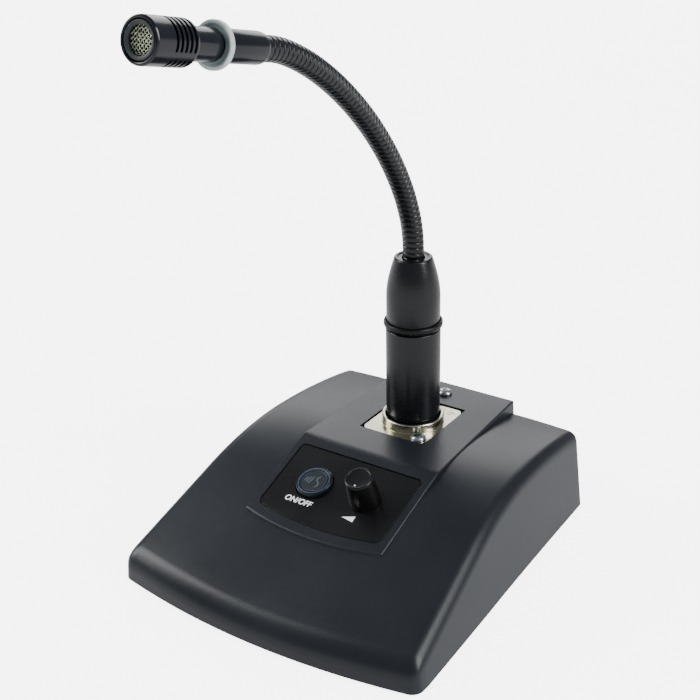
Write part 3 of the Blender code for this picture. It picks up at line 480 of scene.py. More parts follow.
def platform_top(y):
    reach = PANEL_ROUND * math.tan(PANEL_SLOPE / 2)
    ahead = PANEL_TOP_Y + reach - y
    if ahead <= 0:
        return PLATFORM_Z
    if ahead < PANEL_ROUND * math.sin(PANEL_SLOPE):
        return PLATFORM_Z - PANEL_ROUND + math.sqrt(PANEL_ROUND ** 2 - ahead ** 2)
    return PLATFORM_Z - (PANEL_TOP_Y - y) * math.tan(PANEL_SLOPE)


def edge_lines(start_radius, end_radius, steps, shares):
    """Grid lines across a block: (share, distance added, drop of the rounded edge there)."""
    lines = []
    for i in range(steps + 1):
        angle = math.pi / 2 * i / steps
        lines.append((0.0, start_radius * (1 - math.cos(angle)),
                      start_radius * (1 - math.sin(angle))))
    for share in shares:
        lines.append((share, start_radius - (start_radius + end_radius) * share, 0.0))
    for i in range(steps, -1, -1):
        angle = math.pi / 2 * i / steps
        lines.append((1.0, -end_radius * (1 - math.cos(angle)),
                      end_radius * (1 - math.sin(angle))))
    return lines


def even_shares(count):
    return [i / (count + 1) for i in range(1, count + 1)]


def rounded_corner(across, along, radius):
    """Pull the grid's lines near a corner onto a quarter circle."""
    near_across = across[0] in (0.0, 1.0) and abs(across[1]) < radius
    near_along = along[0] in (0.0, 1.0) and abs(along[1]) < radius
    if not (near_across and near_along):
        return across[1], along[1]
    p = (radius - abs(across[1])) / radius
    q = (radius - abs(along[1])) / radius
    inset_across = radius * (1 - p * math.sqrt(1 - q * q / 2))
    inset_along = radius * (1 - q * math.sqrt(1 - p * p / 2))
    return (math.copysign(inset_across, across[1] if across[1] else 0.5 - across[0]),
            math.copysign(inset_along, along[1] if along[1] else 0.5 - along[0]))


def moulded_block(columns, rows, half_width, front, back, top, corner, spread, bottom):
    """A closed block with a rounded, curved top over walls that spread towards the bottom."""
    bm = bmesh.new()
    across_count, along_count = len(columns) - 1, len(rows) - 1
    bmesh.ops.create_grid(bm, x_segments=across_count, y_segments=along_count, size=0.5)
    deepest = max(max(line[2] for line in columns), max(line[2] for line in rows))
    for vert in bm.verts:
        across = columns[round((vert.co.x + 0.5) * across_count)]
        along = rows[round((vert.co.y + 0.5) * along_count)]
        shift_x, shift_y = rounded_corner(across, along, corner)
        rough_y = front(0.0) + (back - front(0.0)) * along[0]
        half = half_width(rough_y)
        x = -half + 2 * half * across[0] + shift_x
        y = front(x) + (back - front(x)) * along[0] + shift_y
        drop = min(math.hypot(across[2], along[2]), deepest)
        vert.co = Vector((x, y, top(x, y) - drop)) * MM
    rim = [edge for edge in bm.edges if edge.is_boundary]
    skirt = bmesh.ops.extrude_edge_only(bm, edges=rim)["geom"]
    for vert in [part for part in skirt if isinstance(part, bmesh.types.BMVert)]:
        x, y, z = vert.co / MM
        vert.co = Vector((*spread(x, y, z - bottom), bottom)) * MM
    bmesh.ops.holes_fill(bm, edges=[edge for edge in bm.edges if edge.is_boundary], sides=0)
    return bm


def half_at(y):
    """Half of the base's width at the rim."""
    share = (y - FRONT_CORNER) / (BASE_BACK - FRONT_CORNER)
    return (FRONT_WIDTH + (BACK_WIDTH - FRONT_WIDTH) * share) / 2


def housing_bmesh(inset, bottom, steps, across, along):
    half = FRONT_WIDTH / 2
    back_top = BASE_BACK - BACK_DRAFT * (housing_top(half, BASE_BACK) - SIDE_FILLET)

    def half_width(y):
        return half_at(y) - SIDE_DRAFT * (housing_top(half, y) - SIDE_FILLET - RIM) - inset

    def front(x):
        return FRONT_CORNER - FRONT_BULGE * (1 - (x / half) ** 2) + inset

    def spread(x, y, fall):
        share = (y - FRONT_CORNER) / (BASE_BACK - FRONT_CORNER)
        return x * (1 + SIDE_DRAFT * fall / half), y + BACK_DRAFT * fall * max(0.0, 2 * share - 1)

    columns = edge_lines(SIDE_FILLET - inset, SIDE_FILLET - inset, steps, even_shares(across))
    rows = edge_lines(FRONT_FILLET - inset, max(BACK_FILLET - inset, 0.5), steps,
                      even_shares(along))
    return moulded_block(columns, rows, half_width, front, back_top - inset,
                         lambda x, y: housing_top(x, y) - inset, CORNER, spread, bottom)


def platform_bmesh(inset, bottom, edge, steps, across):
    curve = PANEL_BULGE / PLATFORM_FRONT_HALF ** 2
    corner_y = PANEL_TOP_Y - PANEL_LENGTH * math.cos(PANEL_SLOPE)

    def share_of(y):
        return max(0.0, (y - PANEL_TOP_Y) / (BASE_BACK - PANEL_TOP_Y))

    def half_width(y):
        return (PLATFORM_FRONT_HALF + (PLATFORM_BACK_HALF - PLATFORM_FRONT_HALF) * share_of(y)
                - inset)

    def front(x):
        return corner_y - PANEL_BULGE + curve * x * x + inset

    def spread(x, y, fall):
        return (x * (1 + BACK_DRAFT * fall / PLATFORM_FRONT_HALF),
                y + BACK_DRAFT * fall * share_of(y))

    back = BASE_BACK - BACK_DRAFT * (PLATFORM_Z - RIM) - inset
    length = back - front(0.0)
    stops = [PANEL_TOP_Y - 28.0, PANEL_TOP_Y - 18.0, PANEL_TOP_Y - 9.0]
    stops += [PANEL_TOP_Y + step * 0.4 for step in range(-5, 6)] + [20.0, 45.0]
    rows = edge_lines(edge, edge, steps, [(stop - front(0.0)) / length for stop in stops])
    columns = edge_lines(edge, edge, steps, even_shares(across))
    return moulded_block(columns, rows, half_width, front, back,
                         lambda x, y: platform_top(y) - inset, edge, spread, bottom)


def arc_outline(half, upper, lower, bulge, corner, steps=8, count=28):
    """A plate in the panel's plane with a curved lower edge; lengths run down the slope."""
    outline = []
    for centre, start in (((half - corner, -upper - corner), 0),
                          ((corner - half, -upper - corner), 90)):
        for i in range(steps + 1):
            angle = math.radians(start + 90 * i / steps)
            outline.append((centre[0] + corner * math.cos(angle),
                            centre[1] + corner * math.sin(angle)))
    outline.append((-half, -lower + corner))
    for i in range(count + 1):
        x = (half - corner * 0.6) * (2 * i / count - 1)
        outline.append((x, -lower - bulge * (1 - (x / half) ** 2)))
    outline.append((half, -lower + corner))
    return outline


def build_housing():
    shell = helper("housing_skin", housing_bmesh(0.0, RIM, 7, 15, 29))
    shell = carve(shell, helper("block", platform_bmesh(0.0, 12.0, 0.7, 4, 9)), "UNION")
    shell = carve(shell, helper("block", housing_bmesh(WALL, -4.0, 3, 7, 13)))
    shell = carve(shell, helper("block", platform_bmesh(WALL, 8.0, 0.5, 1, 5)))
    for spot in SCREW_SPOTS:
        post = rod_bmesh(3.8, 3.5, housing_top(*spot) - WALL * 0.85, 24, spot)
        shell = carve(shell, helper("post", post), "UNION")
        shell = carve(shell, helper("bore", rod_bmesh(1.8, 2.0, 11.5, 16, spot)))
    ledge = box_bmesh((-17.0, -19.0, 30.2), (17.0, 19.0, 33.4))
    shell = carve(shell, helper("ledge", ledge, STEM_FRAME), "UNION")
    post = rod_bmesh(4.0, 27.5, 33.4, 24, PLATFORM_SCREW)
    shell = carve(shell, helper("post", post, STEM_FRAME), "UNION")
    cuts = [box_bmesh((-13.5, -15.5, LEDGE_TOP), (13.5, 15.5, 40.0)),
            rod_bmesh(12.2, 25.0, 40.0, 72), box_bmesh((-4.0, 10.0, 25.0), (4.0, 14.95, 40.0)),
            rod_bmesh(1.8, 25.0, 40.0, 20, PLATFORM_SCREW)]
    cuts += [rod_bmesh(1.8, 28.0, 40.0, 20, spot) for spot in FLANGE_SCREWS]
    for cut in cuts:
        shell = carve(shell, helper("cut", cut, STEM_FRAME))
    pocket = prism_bmesh(arc_outline(PLATE_HALF, PLATE_TOP, PLATE_BOTTOM, PLATE_BULGE, 2.0),
                         -PLATE_POCKET, 5.0)
    shell = carve(shell, helper("pocket", pocket, PANEL_FRAME))
    shell = carve(shell, helper("hole", rod_bmesh(7.8, -9.0, 3.0, 48), BUTTON_FRAME))
    shell = carve(shell, helper("hole", rod_bmesh(3.9, -9.0, 3.0, 48), KNOB_FRAME))
    rear = OUTPUT_FRAME @ moved(0.0, 0.0, -0.35)
    shell = carve(shell, helper("hole", rod_bmesh(10.0, -10.0, 10.0, 72), rear))
    carved_piece(shell, SATIN, "base", "housing", 28.0, (0.14, 1, 50.0))


build_housing()


# ---- control panel ----------------------------------------------------------------------------
def text_mesh(words, width, height, slant, name):
    """Raised lettering in the XY plane, centred, scaled to a width and height."""
    curve = bpy.data.curves.new(name, "FONT")
    curve.body, curve.align_x, curve.align_y = words, "CENTER", "CENTER"
    curve.offset, curve.shear, curve.extrude = 0.022, slant, 0.5
    curve.resolution_u = 6
    mesh = solid_of(linked(name, curve))
    points = np.array([vert.co for vert in mesh.vertices])
    low, high = points.min(0), points.max(0)
    size = high - low
    for vert in mesh.vertices:
        share = [(vert.co[i] - low[i]) / size[i] - 0.5 for i in range(3)]
        vert.co = Vector((share[0] * width, share[1] * height, share[2] * 0.06)) * MM
    return mesh


def place_mesh(mesh, matrix, name, material, body):
    mesh.transform(matrix)
    bm = bmesh.new()
    bm.from_mesh(mesh)
    bmesh.ops.remove_doubles(bm, verts=bm.verts, dist=1e-7)
    bm.to_mesh(mesh)
    bm.free()
    mesh.materials.clear()
    return add_piece(name, mesh, material, body, ())


def build_plate():
    outline = arc_outline(PLATE_HALF - 0.35, PLATE_TOP + 0.35, PLATE_BOTTOM - 0.35, PLATE_BULGE,
                          1.7)
    plate = helper("control_plate_skin", prism_bmesh(outline, PLATE_LIFT - 1.0, PLATE_LIFT),
                   PANEL_FRAME)
    plate = carve(plate, helper("hole", rod_bmesh(6.85, -3.0, 3.0, 96), BUTTON_FRAME))
    plate = carve(plate, helper("hole", rod_bmesh(3.85, -3.0, 3.0, 72), KNOB_FRAME))
    mesh = plate.data
    bpy.data.objects.remove(plate)
    piece = add_piece("control_plate_skin", mesh, PLATE, "base", ("control_plate",))
    soften_edges(piece, 0.32, 3, 40.0)
    words = text_mesh("ON/OFF", 11.0, 2.4, 0.10, "switch_words")
    spot = PANEL_FRAME @ moved(-11.5, -28.4, PLATE_LIFT + 0.02)
    place_mesh(words, spot, "switch_words", PRINT_PAINTED_GLOW, "base")
    wedge = prism_bmesh(((6.8, -28.9), (11.4, -29.6), (11.3, -27.1)), PLATE_LIFT - 0.02,
                        PLATE_LIFT + 0.05)
    mesh = mesh_from(wedge, "level_wedge", PANEL_FRAME)
    add_piece("level_wedge", sharpen(mesh), PRINT_PAINTED_GLOW, "base", ())


def build_button():
    cap = [(0.0, 1.2), (4.6, 1.2), (4.95, 1.32), (4.95, 0.6), (6.2, 0.6), (6.2, 1.3), (6.5, 1.0),
           (6.5, -2.6), (7.3, -2.6), (7.3, -3.4), (2.0, -3.4), (2.0, -5.0), (0.0, -5.0)]
    lathe("button_cap_skin", cap, 96, BUTTON_FRAME, CAP, "talk_button", ("button_cap",),
          0.16)
    ring = [(5.85, 1.3), (5.85, 0.9), (5.3, 0.9), (5.3, 1.3)]
    lathe("button_ring_skin", ring, 96, BUTTON_FRAME, CAP_RING, "talk_button",
          ("button_light_ring",), 0.12)
    bm = bmesh.new()
    for offset, length in ((-3.0, 1.9), (-2.0, 2.7), (-1.0, 3.4)):
        add_stroke(bm, [(offset - 0.35, -length / 2), (offset + 0.35, length / 2)], 0.42)
    squiggle = [(1.6 + 0.8 * math.sin(math.tau * t), -2.5 + 5.0 * t) for t in
                [i / 16 for i in range(17)]]
    add_stroke(bm, squiggle, 0.5)
    mesh = sharpen(mesh_from(bm, "talk_mark", BUTTON_FRAME))
    add_piece("talk_mark", mesh, MARK, "talk_button", ())


def add_stroke(bm, path, width):
    """A flat raised line along a path in the XY plane, in millimetres."""
    low, high = 1.18, 1.25
    count = len(path)
    rings = []
    for i, (x, y) in enumerate(path):
        ahead = Vector(path[min(i + 1, count - 1)]) - Vector(path[max(i - 1, 0)])
        side = Vector((-ahead.y, ahead.x)).normalized() * width / 2
        rings.append([bm.verts.new(Vector((x + s * side.x, y + s * side.y, z)) * MM)
                      for s, z in ((1, low), (-1, low), (-1, high), (1, high))])
    skin_rings(bm, rings)


def build_knob():
    knob = [(0.0, 11.05), (4.05, 11.05), (4.2, 11.2), (4.45, 11.2), (4.8, 10.95), (4.95, 10.5),
            (5.6, 0.3), (5.15, 0.3), (5.15, 3.0), (2.7, 3.0), (2.7, 9.6), (0.0, 9.6)]
    lathe("knob_skin", knob, 96, KNOB_FRAME, KNOB, "volume_knob", ("knob",), 0.22)
    dot = [(0.0, 11.0), (0.28, 11.0), (0.28, 11.12), (0.2, 11.15), (0.0, 11.15)]
    spot = KNOB_FRAME @ moved(0.5, -3.3, 0.0)
    lathe("knob_dot", dot, 20, spot, PRINT_PAINTED_GLOW, "volume_knob", (), 0.03)


build_plate()
build_button()
build_knob()


# ---- panel socket -----------------------------------------------------------------------------
def rounded_rectangle(half_x, half_y, radius, steps=8):
    outline = []
    for sx, sy, start in ((1, 1, 0), (-1, 1, 90), (-1, -1, 180), (1, -1, 270)):
        for i in range(steps + 1):
            angle = math.radians(start + 90 * i / steps)
            outline.append((sx * (half_x - radius) + radius * math.cos(angle),
                            sy * (half_y - radius) + radius * math.sin(angle)))
    return outline


def build_socket():
    profile = [(10.3, 37.7), (11.15, 37.7), (11.45, 37.4), (11.45, 35.1), (11.55, 34.6),
               (11.8, 34.3), (11.8, 10.0), (10.3, 10.0)]
    shell = helper("socket_skin", turned_bmesh(rounded(profile, 0.25, 3), 96), STEM_FRAME)
    flange = prism_bmesh(rounded_rectangle(13.0, 15.1, 3.0), FLANGE_TOP - 1.6, FLANGE_TOP)
    flange = helper("flange", flange, STEM_FRAME)
    flange = carve(flange, helper("bore", rod_bmesh(11.0, 30.0, 40.0, 96), STEM_FRAME))
    shell = carve(shell, flange, "UNION")
    cuts = [box_bmesh((-3.8, 12.0, 30.0), (3.8, 18.0, 40.0))]
    cuts += [rod_bmesh(1.8, 30.0, 40.0, 24, spot) for spot in FLANGE_SCREWS]
    for cut in cuts:
        shell = carve(shell, helper("cut", cut, STEM_FRAME))
    marks = bmesh.new()
    for x, y, wide, deep in ((9.0, 12.1, 0.35, 1.3), (9.9, 12.1, 0.35, 1.3),
                             (10.7, 11.6, 0.3, 0.8), (9.4, 10.3, 1.5, 0.3)):
        matrix = (moved(x, y, FLANGE_TOP)
                  @ Matrix.Diagonal((wide * MM, deep * MM, 0.3 * MM, 1.0)))
        bmesh.ops.create_cube(marks, size=1.0, matrix=matrix)
    shell = carve(shell, helper("marks", marks, STEM_FRAME), "UNION")
    carved_piece(shell, NICKEL, "base", "socket_shell", 30.0, (0.16, 2, 40.0))


def build_pan_screw(node, spot, seat):
    head = [(0.0, 1.75), (0.9, 1.72), (1.6, 1.56), (2.15, 1.28), (2.5, 0.95), (2.7, 0.55),
            (2.75, 0.2), (2.65, 0.0), (1.5, 0.0), (1.5, -4.9), (1.0, -5.8), (0.0, -5.8)]
    matrix = STEM_FRAME @ moved(*spot, seat)
    screw = helper(node + "_skin", turned_bmesh(head, 64), matrix)
    for wide, deep in ((2.7, 0.62), (0.62, 2.7)):
        bm = bmesh.new()
        place = (moved(0.0, 0.0, 1.75)
                 @ Matrix.Diagonal((wide * MM, deep * MM, 1.7 * MM, 1.0)))
        for vert in bmesh.ops.create_cube(bm, size=1.0, matrix=place)["verts"]:
            if vert.co.z < 1.5 * MM:
                vert.co.x *= 0.62
                vert.co.y *= 0.62
        screw = carve(screw, helper("cross", bm, matrix))
    carved_piece(screw, ZINC, "base", node, 38.0, (0.05, 1, 40.0))


build_socket()
for node, spot, seat in (("flange_screw_front", FLANGE_SCREWS[0], FLANGE_TOP + 0.1),
                         ("flange_screw_rear", FLANGE_SCREWS[1], FLANGE_TOP + 0.1),
                         ("platform_screw", PLATFORM_SCREW,
                          PLATFORM_Z - STEM_AT.z / MM + 0.1)):
    build_pan_screw(node, spot, seat)


# ---- stem -------------------------------------------------------------------------------------
def arc_points(centre, radius, start, stop, count):
    return [(centre[0] + radius * math.cos(math.radians(start + (stop - start) * i / count)),
             centre[1] + radius * math.sin(math.radians(start + (stop - start) * i / count)))
            for i in range(count + 1)]


def build_stem():
    barrel = [(8.0, 77.6), (8.0, 72.2), (9.7, 72.2), (9.9, 72.0), (9.9, 39.2), (9.55, 38.6),
              (9.55, 22.0), (8.1, 22.0), (8.1, 50.0), (6.6, 52.0), (6.6, 77.6)]
    lathe("plug_barrel_skin", barrel, 96, STEM_FRAME, BARREL, "stem", ("plug_barrel",),
          0.1)
    ring = (arc_points((10.0, 74.55), 0.65, 90, 0, 8) + arc_points((9.3, 73.85), 1.35, 0, -90, 8)
            + [(8.3, 72.5), (8.3, 73.6), (10.0, 73.6)])
    lathe("stem_ring_skin", ring, 96, STEM_FRAME, RING_RUBBER, "stem", ("stem_ring",),
          0.0, 60.0)
    top, rim, wide = 99.2, 6.8, 9.7
    bullet = []
    for i in range(25):
        share = i / 24
        bullet.append((rim + (wide - rim) * math.sin(math.pi / 2 * share),
                       top - 0.3 - (top - 84.3) * share))
    sleeve = [(5.6, top), (rim - 0.4, top)] + bullet
    sleeve += [(wide, 73.9), (8.35, 73.9), (8.35, 80.5), (4.1, 80.5), (4.1, top - 0.4),
               (5.4, top - 0.4)]
    lathe("stem_sleeve_skin", sleeve, 96, STEM_FRAME, BARREL, "stem", ("stem_sleeve",),
          0.16)


build_stem()


# ---- flexible arm: a wound tube, each length bending across one joint --------------------------
PITCH, ARM_RADIUS, GROOVE = 2.25, 3.8, 0.45
COIL_SIDES, COIL_STEP, BEND_HALF = 44, 0.125, 5.5
ROOT_START = 84.0 + STEM_AT.z / MM
LINK_LENGTH = 14.2


def arm_path():
    """(start, start angle, length, turn) of each stretch, from inside the sleeve to the head."""
    root = ARM_POINTS[0][1] - ROOT_START
    stretches = [((ARM_POINTS[0][0], ROOT_START), 0.0, root, 0.0)]
    for i in range(len(ARM_POINTS) - 1):
        stretches.append((ARM_POINTS[i], ARM_ANGLES[i], LINK_LENGTH,
                          ARM_ANGLES[i + 1] - ARM_ANGLES[i]))
    stretches.append((ARM_POINTS[-1], ARM_ANGLES[-1], TIP_BENT_LENGTH, TIP_BEND))
    stretches.append((HEAD_AT, HEAD_ANGLE, 12.6, 0.0))
    return stretches


STRETCHES = arm_path()
STARTS = [0.0]
for stretch in STRETCHES:
    STARTS.append(STARTS[-1] + stretch[2])


def arm_at(along):
    """Centre and tangent angle at a length along the arm."""
    index = 0
    while index < len(STRETCHES) - 1 and along > STARTS[index + 1]:
        index += 1
    at, angle, length, turn = STRETCHES[index]
    part = along - STARTS[index]
    return step_along(at, angle, part, turn * part / length)


def coil_bmesh(start, stop):
    """The wound tube between two lengths along the arm, closed at both ends."""
    bm = bmesh.new()
    count = max(2, round((stop - start) / COIL_STEP))
    rings = []
    for i in range(count + 1):
        along = start + (stop - start) * i / count
        (y, z), angle = arm_at(along)
        centre = Vector((0.0, y, z))
        outward = Vector((0.0, math.cos(angle), math.sin(angle)))
        ring = []
        for j in range(COIL_SIDES):
            turn = math.tau * j / COIL_SIDES
            phase = (along / PITCH + j / COIL_SIDES) % 1.0
            dip = max(0.0, 1 - abs(phase - 0.5) / 0.13)
            radius = ARM_RADIUS - GROOVE * dip - 0.05 * (1 - abs(2 * phase - 1)) ** 2
            point = centre + (Vector((1.0, 0.0, 0.0)) * math.cos(turn)
                              + outward * math.sin(turn)) * radius
            ring.append(bm.verts.new(point * MM))
        rings.append(ring)
    skin_rings(bm, rings)
    # Faces deep in the groove take the second material, the near-black painted shade.
    for index, face in zip(range(count * COIL_SIDES), bm.faces):
        i, j = divmod(index, COIL_SIDES)
        along = start + (stop - start) * (i + 0.5) / count
        phase = (along / PITCH + (j + 0.5) / COIL_SIDES) % 1.0
        face.material_index = 1 if abs(phase - 0.5) < 0.055 else 0
    return bm


def build_arm():
    middles = [STARTS[i + 1] + LINK_LENGTH / 2 for i in range(len(ARM_POINTS) - 1)]
    cuts = [0.5] + middles + [STARTS[-1] - 0.2]
    nodes = ["gooseneck_root"] + ["gooseneck_link_%d" % i for i in range(1, 9)]
    for i in range(len(ARM_POINTS)):
        name = "arm_winding_%d" % (i + 1)
        mesh = mesh_from(coil_bmesh(cuts[i], cuts[i + 1]), name)
        piece = add_piece(name, mesh, COIL)
        # Second slot: the near-black painted shade for the grooves.
        mesh.materials.append(PAINTED_SHADE_BLACK)
        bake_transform(piece)
        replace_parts(piece, nodes[i])
        if i == len(ARM_POINTS) - 1:
            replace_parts(piece, "gooseneck_tip")


build_arm()


# ---- microphone head --------------------------------------------------------------------------
HEAD_START, HEAD_END, HEAD_RADIUS = 37.0, 54.0, 6.35
RING_LOW, RING_HIGH, RING_RADIUS = 23.6, 25.6, 6.7
SLOT_COUNT, SLOT_PITCH, SLOT_WIDTH, RIB_HALF, RIB_COUNT = 5, 1.8, 0.95, 1.2, 3
MESH_SPACING, MESH_REACH, MESH_HEIGHT, MESH_DOME = 0.92, 4.35, 52.1, 0.25
WIRE_RADIUS, WIRE_SIDES, WEAVE = 0.135, 8, 0.13


def add_sector(bm, inner, outer, low, high, start, stop, steps):
    """A closed block of a ring between two angles, in millimetres."""
    rings = []
    for i in range(steps + 1):
        angle = start + (stop - start) * i / steps
        way = Vector((math.cos(angle), math.sin(angle), 0.0))
        rings.append([bm.verts.new((way * radius + Vector((0.0, 0.0, z))) * MM)
                      for radius, z in ((inner, low), (outer, low), (outer, high),
                                        (inner, high))])
    skin_rings(bm, rings)


def build_head_shell():
    start = HEAD_START
    outer = [(5.4, HEAD_END - 0.2), (5.7, HEAD_END), (6.1, HEAD_END - 0.12),
             (HEAD_RADIUS, HEAD_END - 0.6), (HEAD_RADIUS, start + 1.3), (6.22, start + 0.75),
             (5.9, start + 0.35), (5.2, start), (4.6, start), (4.6, RING_HIGH + 0.3),
             (3.55, RING_HIGH + 0.3), (3.55, 20.0), (2.4, 20.0), (2.4, start + 0.8),
             (5.4, start + 0.8)]
    shell = helper("head_shell_skin", turned_bmesh(rounded(outer, 0.14, 2), 96), HEAD_FRAME)
    bm = bmesh.new()
    away = math.asin(RIB_HALF / HEAD_RADIUS)
    for i in range(SLOT_COUNT):
        low = start + 1.7 + SLOT_PITCH * i
        for rib in range(RIB_COUNT):
            first = math.radians(90 + 120 * rib) + away
            add_sector(bm, 4.6, 8.0, low, low + SLOT_WIDTH, first,
                       first + math.tau / RIB_COUNT - 2 * away, 30)
    shell = carve(shell, helper("slots", bm, HEAD_FRAME))
    carved_piece(shell, HEAD_BLACK, "head", "head_shell", 35.0,
                 (0.07, 1, 45.0))
    # A near-black sheet just inside the slots: painted shade for the hollow head seen through
    # them.
    shade_sheet = [(5.3, start + 1.0), (5.3, start + 10.4), (4.9, start + 10.4), (4.9, start + 1.0)]
    lathe("slot_painted_shade", shade_sheet, 64, HEAD_FRAME, PAINTED_SHADE_BLACK, "head", (), 0.0)


def wire_bmesh(bm, along_x, offset, phase):
    """One wire of the woven mesh, rising and dipping over its neighbours."""
    half = math.sqrt(MESH_REACH ** 2 - offset ** 2)
    if half < 0.8:
        return
    count = max(8, round(2 * half / (MESH_SPACING / 4)))
    rings = []
    for i in range(count + 1):
        t = -half + 2 * half * i / count
        dome = MESH_DOME * (1 - (t * t + offset * offset) / MESH_REACH ** 2)
        height = MESH_HEIGHT + dome + WEAVE * math.cos(math.pi * t / MESH_SPACING + phase)
        centre = Vector((t, offset, height)) if along_x else Vector((offset, t, height))
        side = Vector((0.0, 1.0, 0.0)) if along_x else Vector((1.0, 0.0, 0.0))
        ring = []
        for j in range(WIRE_SIDES):
            angle = math.tau * j / WIRE_SIDES
            point = (centre + side * WIRE_RADIUS * math.cos(angle)
                     + Vector((0.0, 0.0, WIRE_RADIUS * math.sin(angle))))
            ring.append(bm.verts.new(point * MM))
        rings.append(ring)
    skin_rings(bm, rings)


def build_grille():
    bm = bmesh.new()
    count = int(MESH_REACH / MESH_SPACING)
    for index in range(-count, count + 1):
        phase = math.pi * (index % 2)
        wire_bmesh(bm, True, index * MESH_SPACING, phase)
        wire_bmesh(bm, False, index * MESH_SPACING, phase + math.pi)
    turn = HEAD_FRAME @ Matrix.Rotation(math.radians(45.0), 4, "Z")
    add_piece("grille_weave", mesh_from(bm, "grille_weave", turn), WIRE, "head", ("grille",))
    rim = [(3.9, 53.5), (4.1, 53.7), (4.9, 53.85), (5.1, 53.6), (5.1, 52.5), (4.2, 52.65),
           (3.9, 52.7)]
    lathe("grille_ring_skin", rim, 96, HEAD_FRAME, LIP, "head", ("grille_ring",),
          0.14)
    seat = [(4.3, 52.4), (5.0, 52.4), (5.0, 51.6), (4.3, 51.6)]
    lathe("grille_seat", seat, 64, HEAD_FRAME, HEAD_BLACK, "head", (), 0.08)
    # The capsule takes the near-black painted shade, which darkens what shows behind the grille.
    can = [(0.0, 51.1), (1.2, 51.1), (1.3, 51.3), (4.3, 51.3), (4.7, 51.2), (4.9, 50.9),
           (4.9, 47.6), (0.0, 47.6)]
    lathe("capsule_skin", can, 64, HEAD_FRAME, PAINTED_SHADE_BLACK, "head", ("capsule",), 0.1)


def build_head_rear():
    ferrule = [(4.1, 22.2), (4.45, 22.2), (4.65, 22.0), (4.65, 6.9), (4.62, 6.2), (4.55, 5.6),
               (4.42, 5.1), (4.28, 4.85), (4.2, 4.8), (4.1, 4.8)]
    lathe("rear_ferrule_skin", ferrule, 96, HEAD_FRAME, HEAD_BLACK, "head", ("rear_ferrule",),
          0.12)
    band = [(4.56, 22.3), (4.68, 22.3), (4.68, 23.45), (4.56, 23.45)]
    lathe("ring_board_band", band, 96, HEAD_FRAME, HEAD_BLACK, "head", (), 0.0)
    low, high = RING_LOW, RING_HIGH
    ring = [(4.9, high - 0.9), (5.7, high - 0.35), (RING_RADIUS - 0.3, high),
            (RING_RADIUS, high - 0.35), (RING_RADIUS, low + 0.35), (RING_RADIUS - 0.3, low),
            (3.95, low), (3.95, high - 0.9)]
    piece = lathe("light_ring_skin", ring, 96, HEAD_FRAME, PEARL, "head", ("light_ring",),
                  0.12)
    # Faces of the inner cone take the darker grey: painted shade in the hollow of the ring.
    piece.data.materials.append(RING_CONE_PAINTED_SHADE)
    for face in piece.data.polygons:
        local = HEAD_FRAME.inverted() @ face.center
        if math.hypot(local.x, local.y) < 5.6 * MM and local.z > (high - 1.0) * MM:
            face.material_index = 1


build_head_shell()
build_grille()
build_head_rear()


# ---- lesser parts: the frame's own shapes, with their edges rounded ----------------------------
BODY_OF = {node: body for body, nodes in frame["record"]["behaviour"]["bodies"].items()
           for node in nodes}
SLOT_OF = {part["node"]: part["material_slot"] for part in frame["record"]["subparts"]}
FINISH = {"rubber": RUBBER, "plate_steel": STEEL, "zinc_screw": ZINC, "nickel": NICKEL,
          "insulator": INSULATOR, "gold_contact": GOLD, "circuit_green": BOARD,
          "button_plastic": CAP, "knob_plastic": KNOB, "anodised_black": BARREL}


def refine(node, width):
    """The node's own shape again, with its edges rounded and its slot's finish."""
    bm = bmesh.new()
    bm.from_mesh(frame["nodes"][node].data)
    bmesh.ops.remove_doubles(bm, verts=bm.verts, dist=2e-6)
    bmesh.ops.dissolve_limit(bm, angle_limit=math.radians(1.5), verts=bm.verts, edges=bm.edges)
    mesh = sharpen(mesh_from(bm, node + "_skin"), 30.0)
    mesh.materials.clear()
    piece = add_piece(node + "_skin", mesh, FINISH[SLOT_OF[node]], BODY_OF[node], (node,))
    soften_edges(piece, width, 2, 40.0)


def build_foot(node):
    """A round pad that meets the desk with a narrow ring."""
    centre = middle(node)
    matrix = Matrix.Translation(Vector((centre.x, centre.y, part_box(node)[0].z)))
    pad = [(0.0, 0.9), (6.0, 0.9), (6.0, 0.25), (5.7, 0.0), (4.6, 0.0), (4.3, 0.2), (0.0, 0.2)]
    lathe(node + "_skin", pad, 64, matrix, RUBBER, BODY_OF[node], (node,), 0.1)


def build_lesser_parts():
    for node in ("foot_rear_left", "foot_rear_right", "foot_front_left", "foot_front_right"):
        build_foot(node)
    output = [(8.2, FLANGE_THICK), (11.9, FLANGE_THICK), (12.2, 1.2), (12.2, 0.0), (9.6, 0.0),
              (9.6, -20.0), (8.2, -20.0)]
    lathe("output_shell_skin", output, 96, OUTPUT_FRAME, NICKEL, "base", ("output_shell",),
          0.25)
    done = {node for obj in bpy.data.objects for node in obj.get("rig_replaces", [])}
    for node in sorted(set(BODY_OF) - done):
        refine(node, 0.1 if "plate" in node or "board" in node else 0.06)


build_lesser_parts()


# ---- floor, light and camera ------------------------------------------------------------------
FLOOR_HALF = 6.0                           # metres, like the lights' places and sizes
FLOOR_LEVEL, FLOOR_GLOW = -0.05, 5.2
UNDERLAY_LEVEL, UNDERLAY_GLOW = -0.3, 0.95
SKY_COLOUR, SKY_STRENGTH = (0.90, 0.95, 1.0), 0.32
SOFTBOXES = (                              # name, place, aim, size, watts
    ("rear_softbox", (-0.75, 1.25, 0.72), (0.0, 0.0, 0.06), (1.5, 0.7), 10.5),
    ("right_softbox", (1.15, 0.10, 0.85), (0.0, 0.0, 0.10), (0.5, 1.1), 22.0),
    ("left_softbox", (-1.10, -0.35, 0.75), (0.0, 0.0, 0.12), (0.5, 1.0), 15.0))
CAMERA_AZIMUTH, CAMERA_PITCH, CAMERA_ROLL = 34.228, 25.232, -1.169
CAMERA_AT = Vector((226.48, -340.54, 271.18))
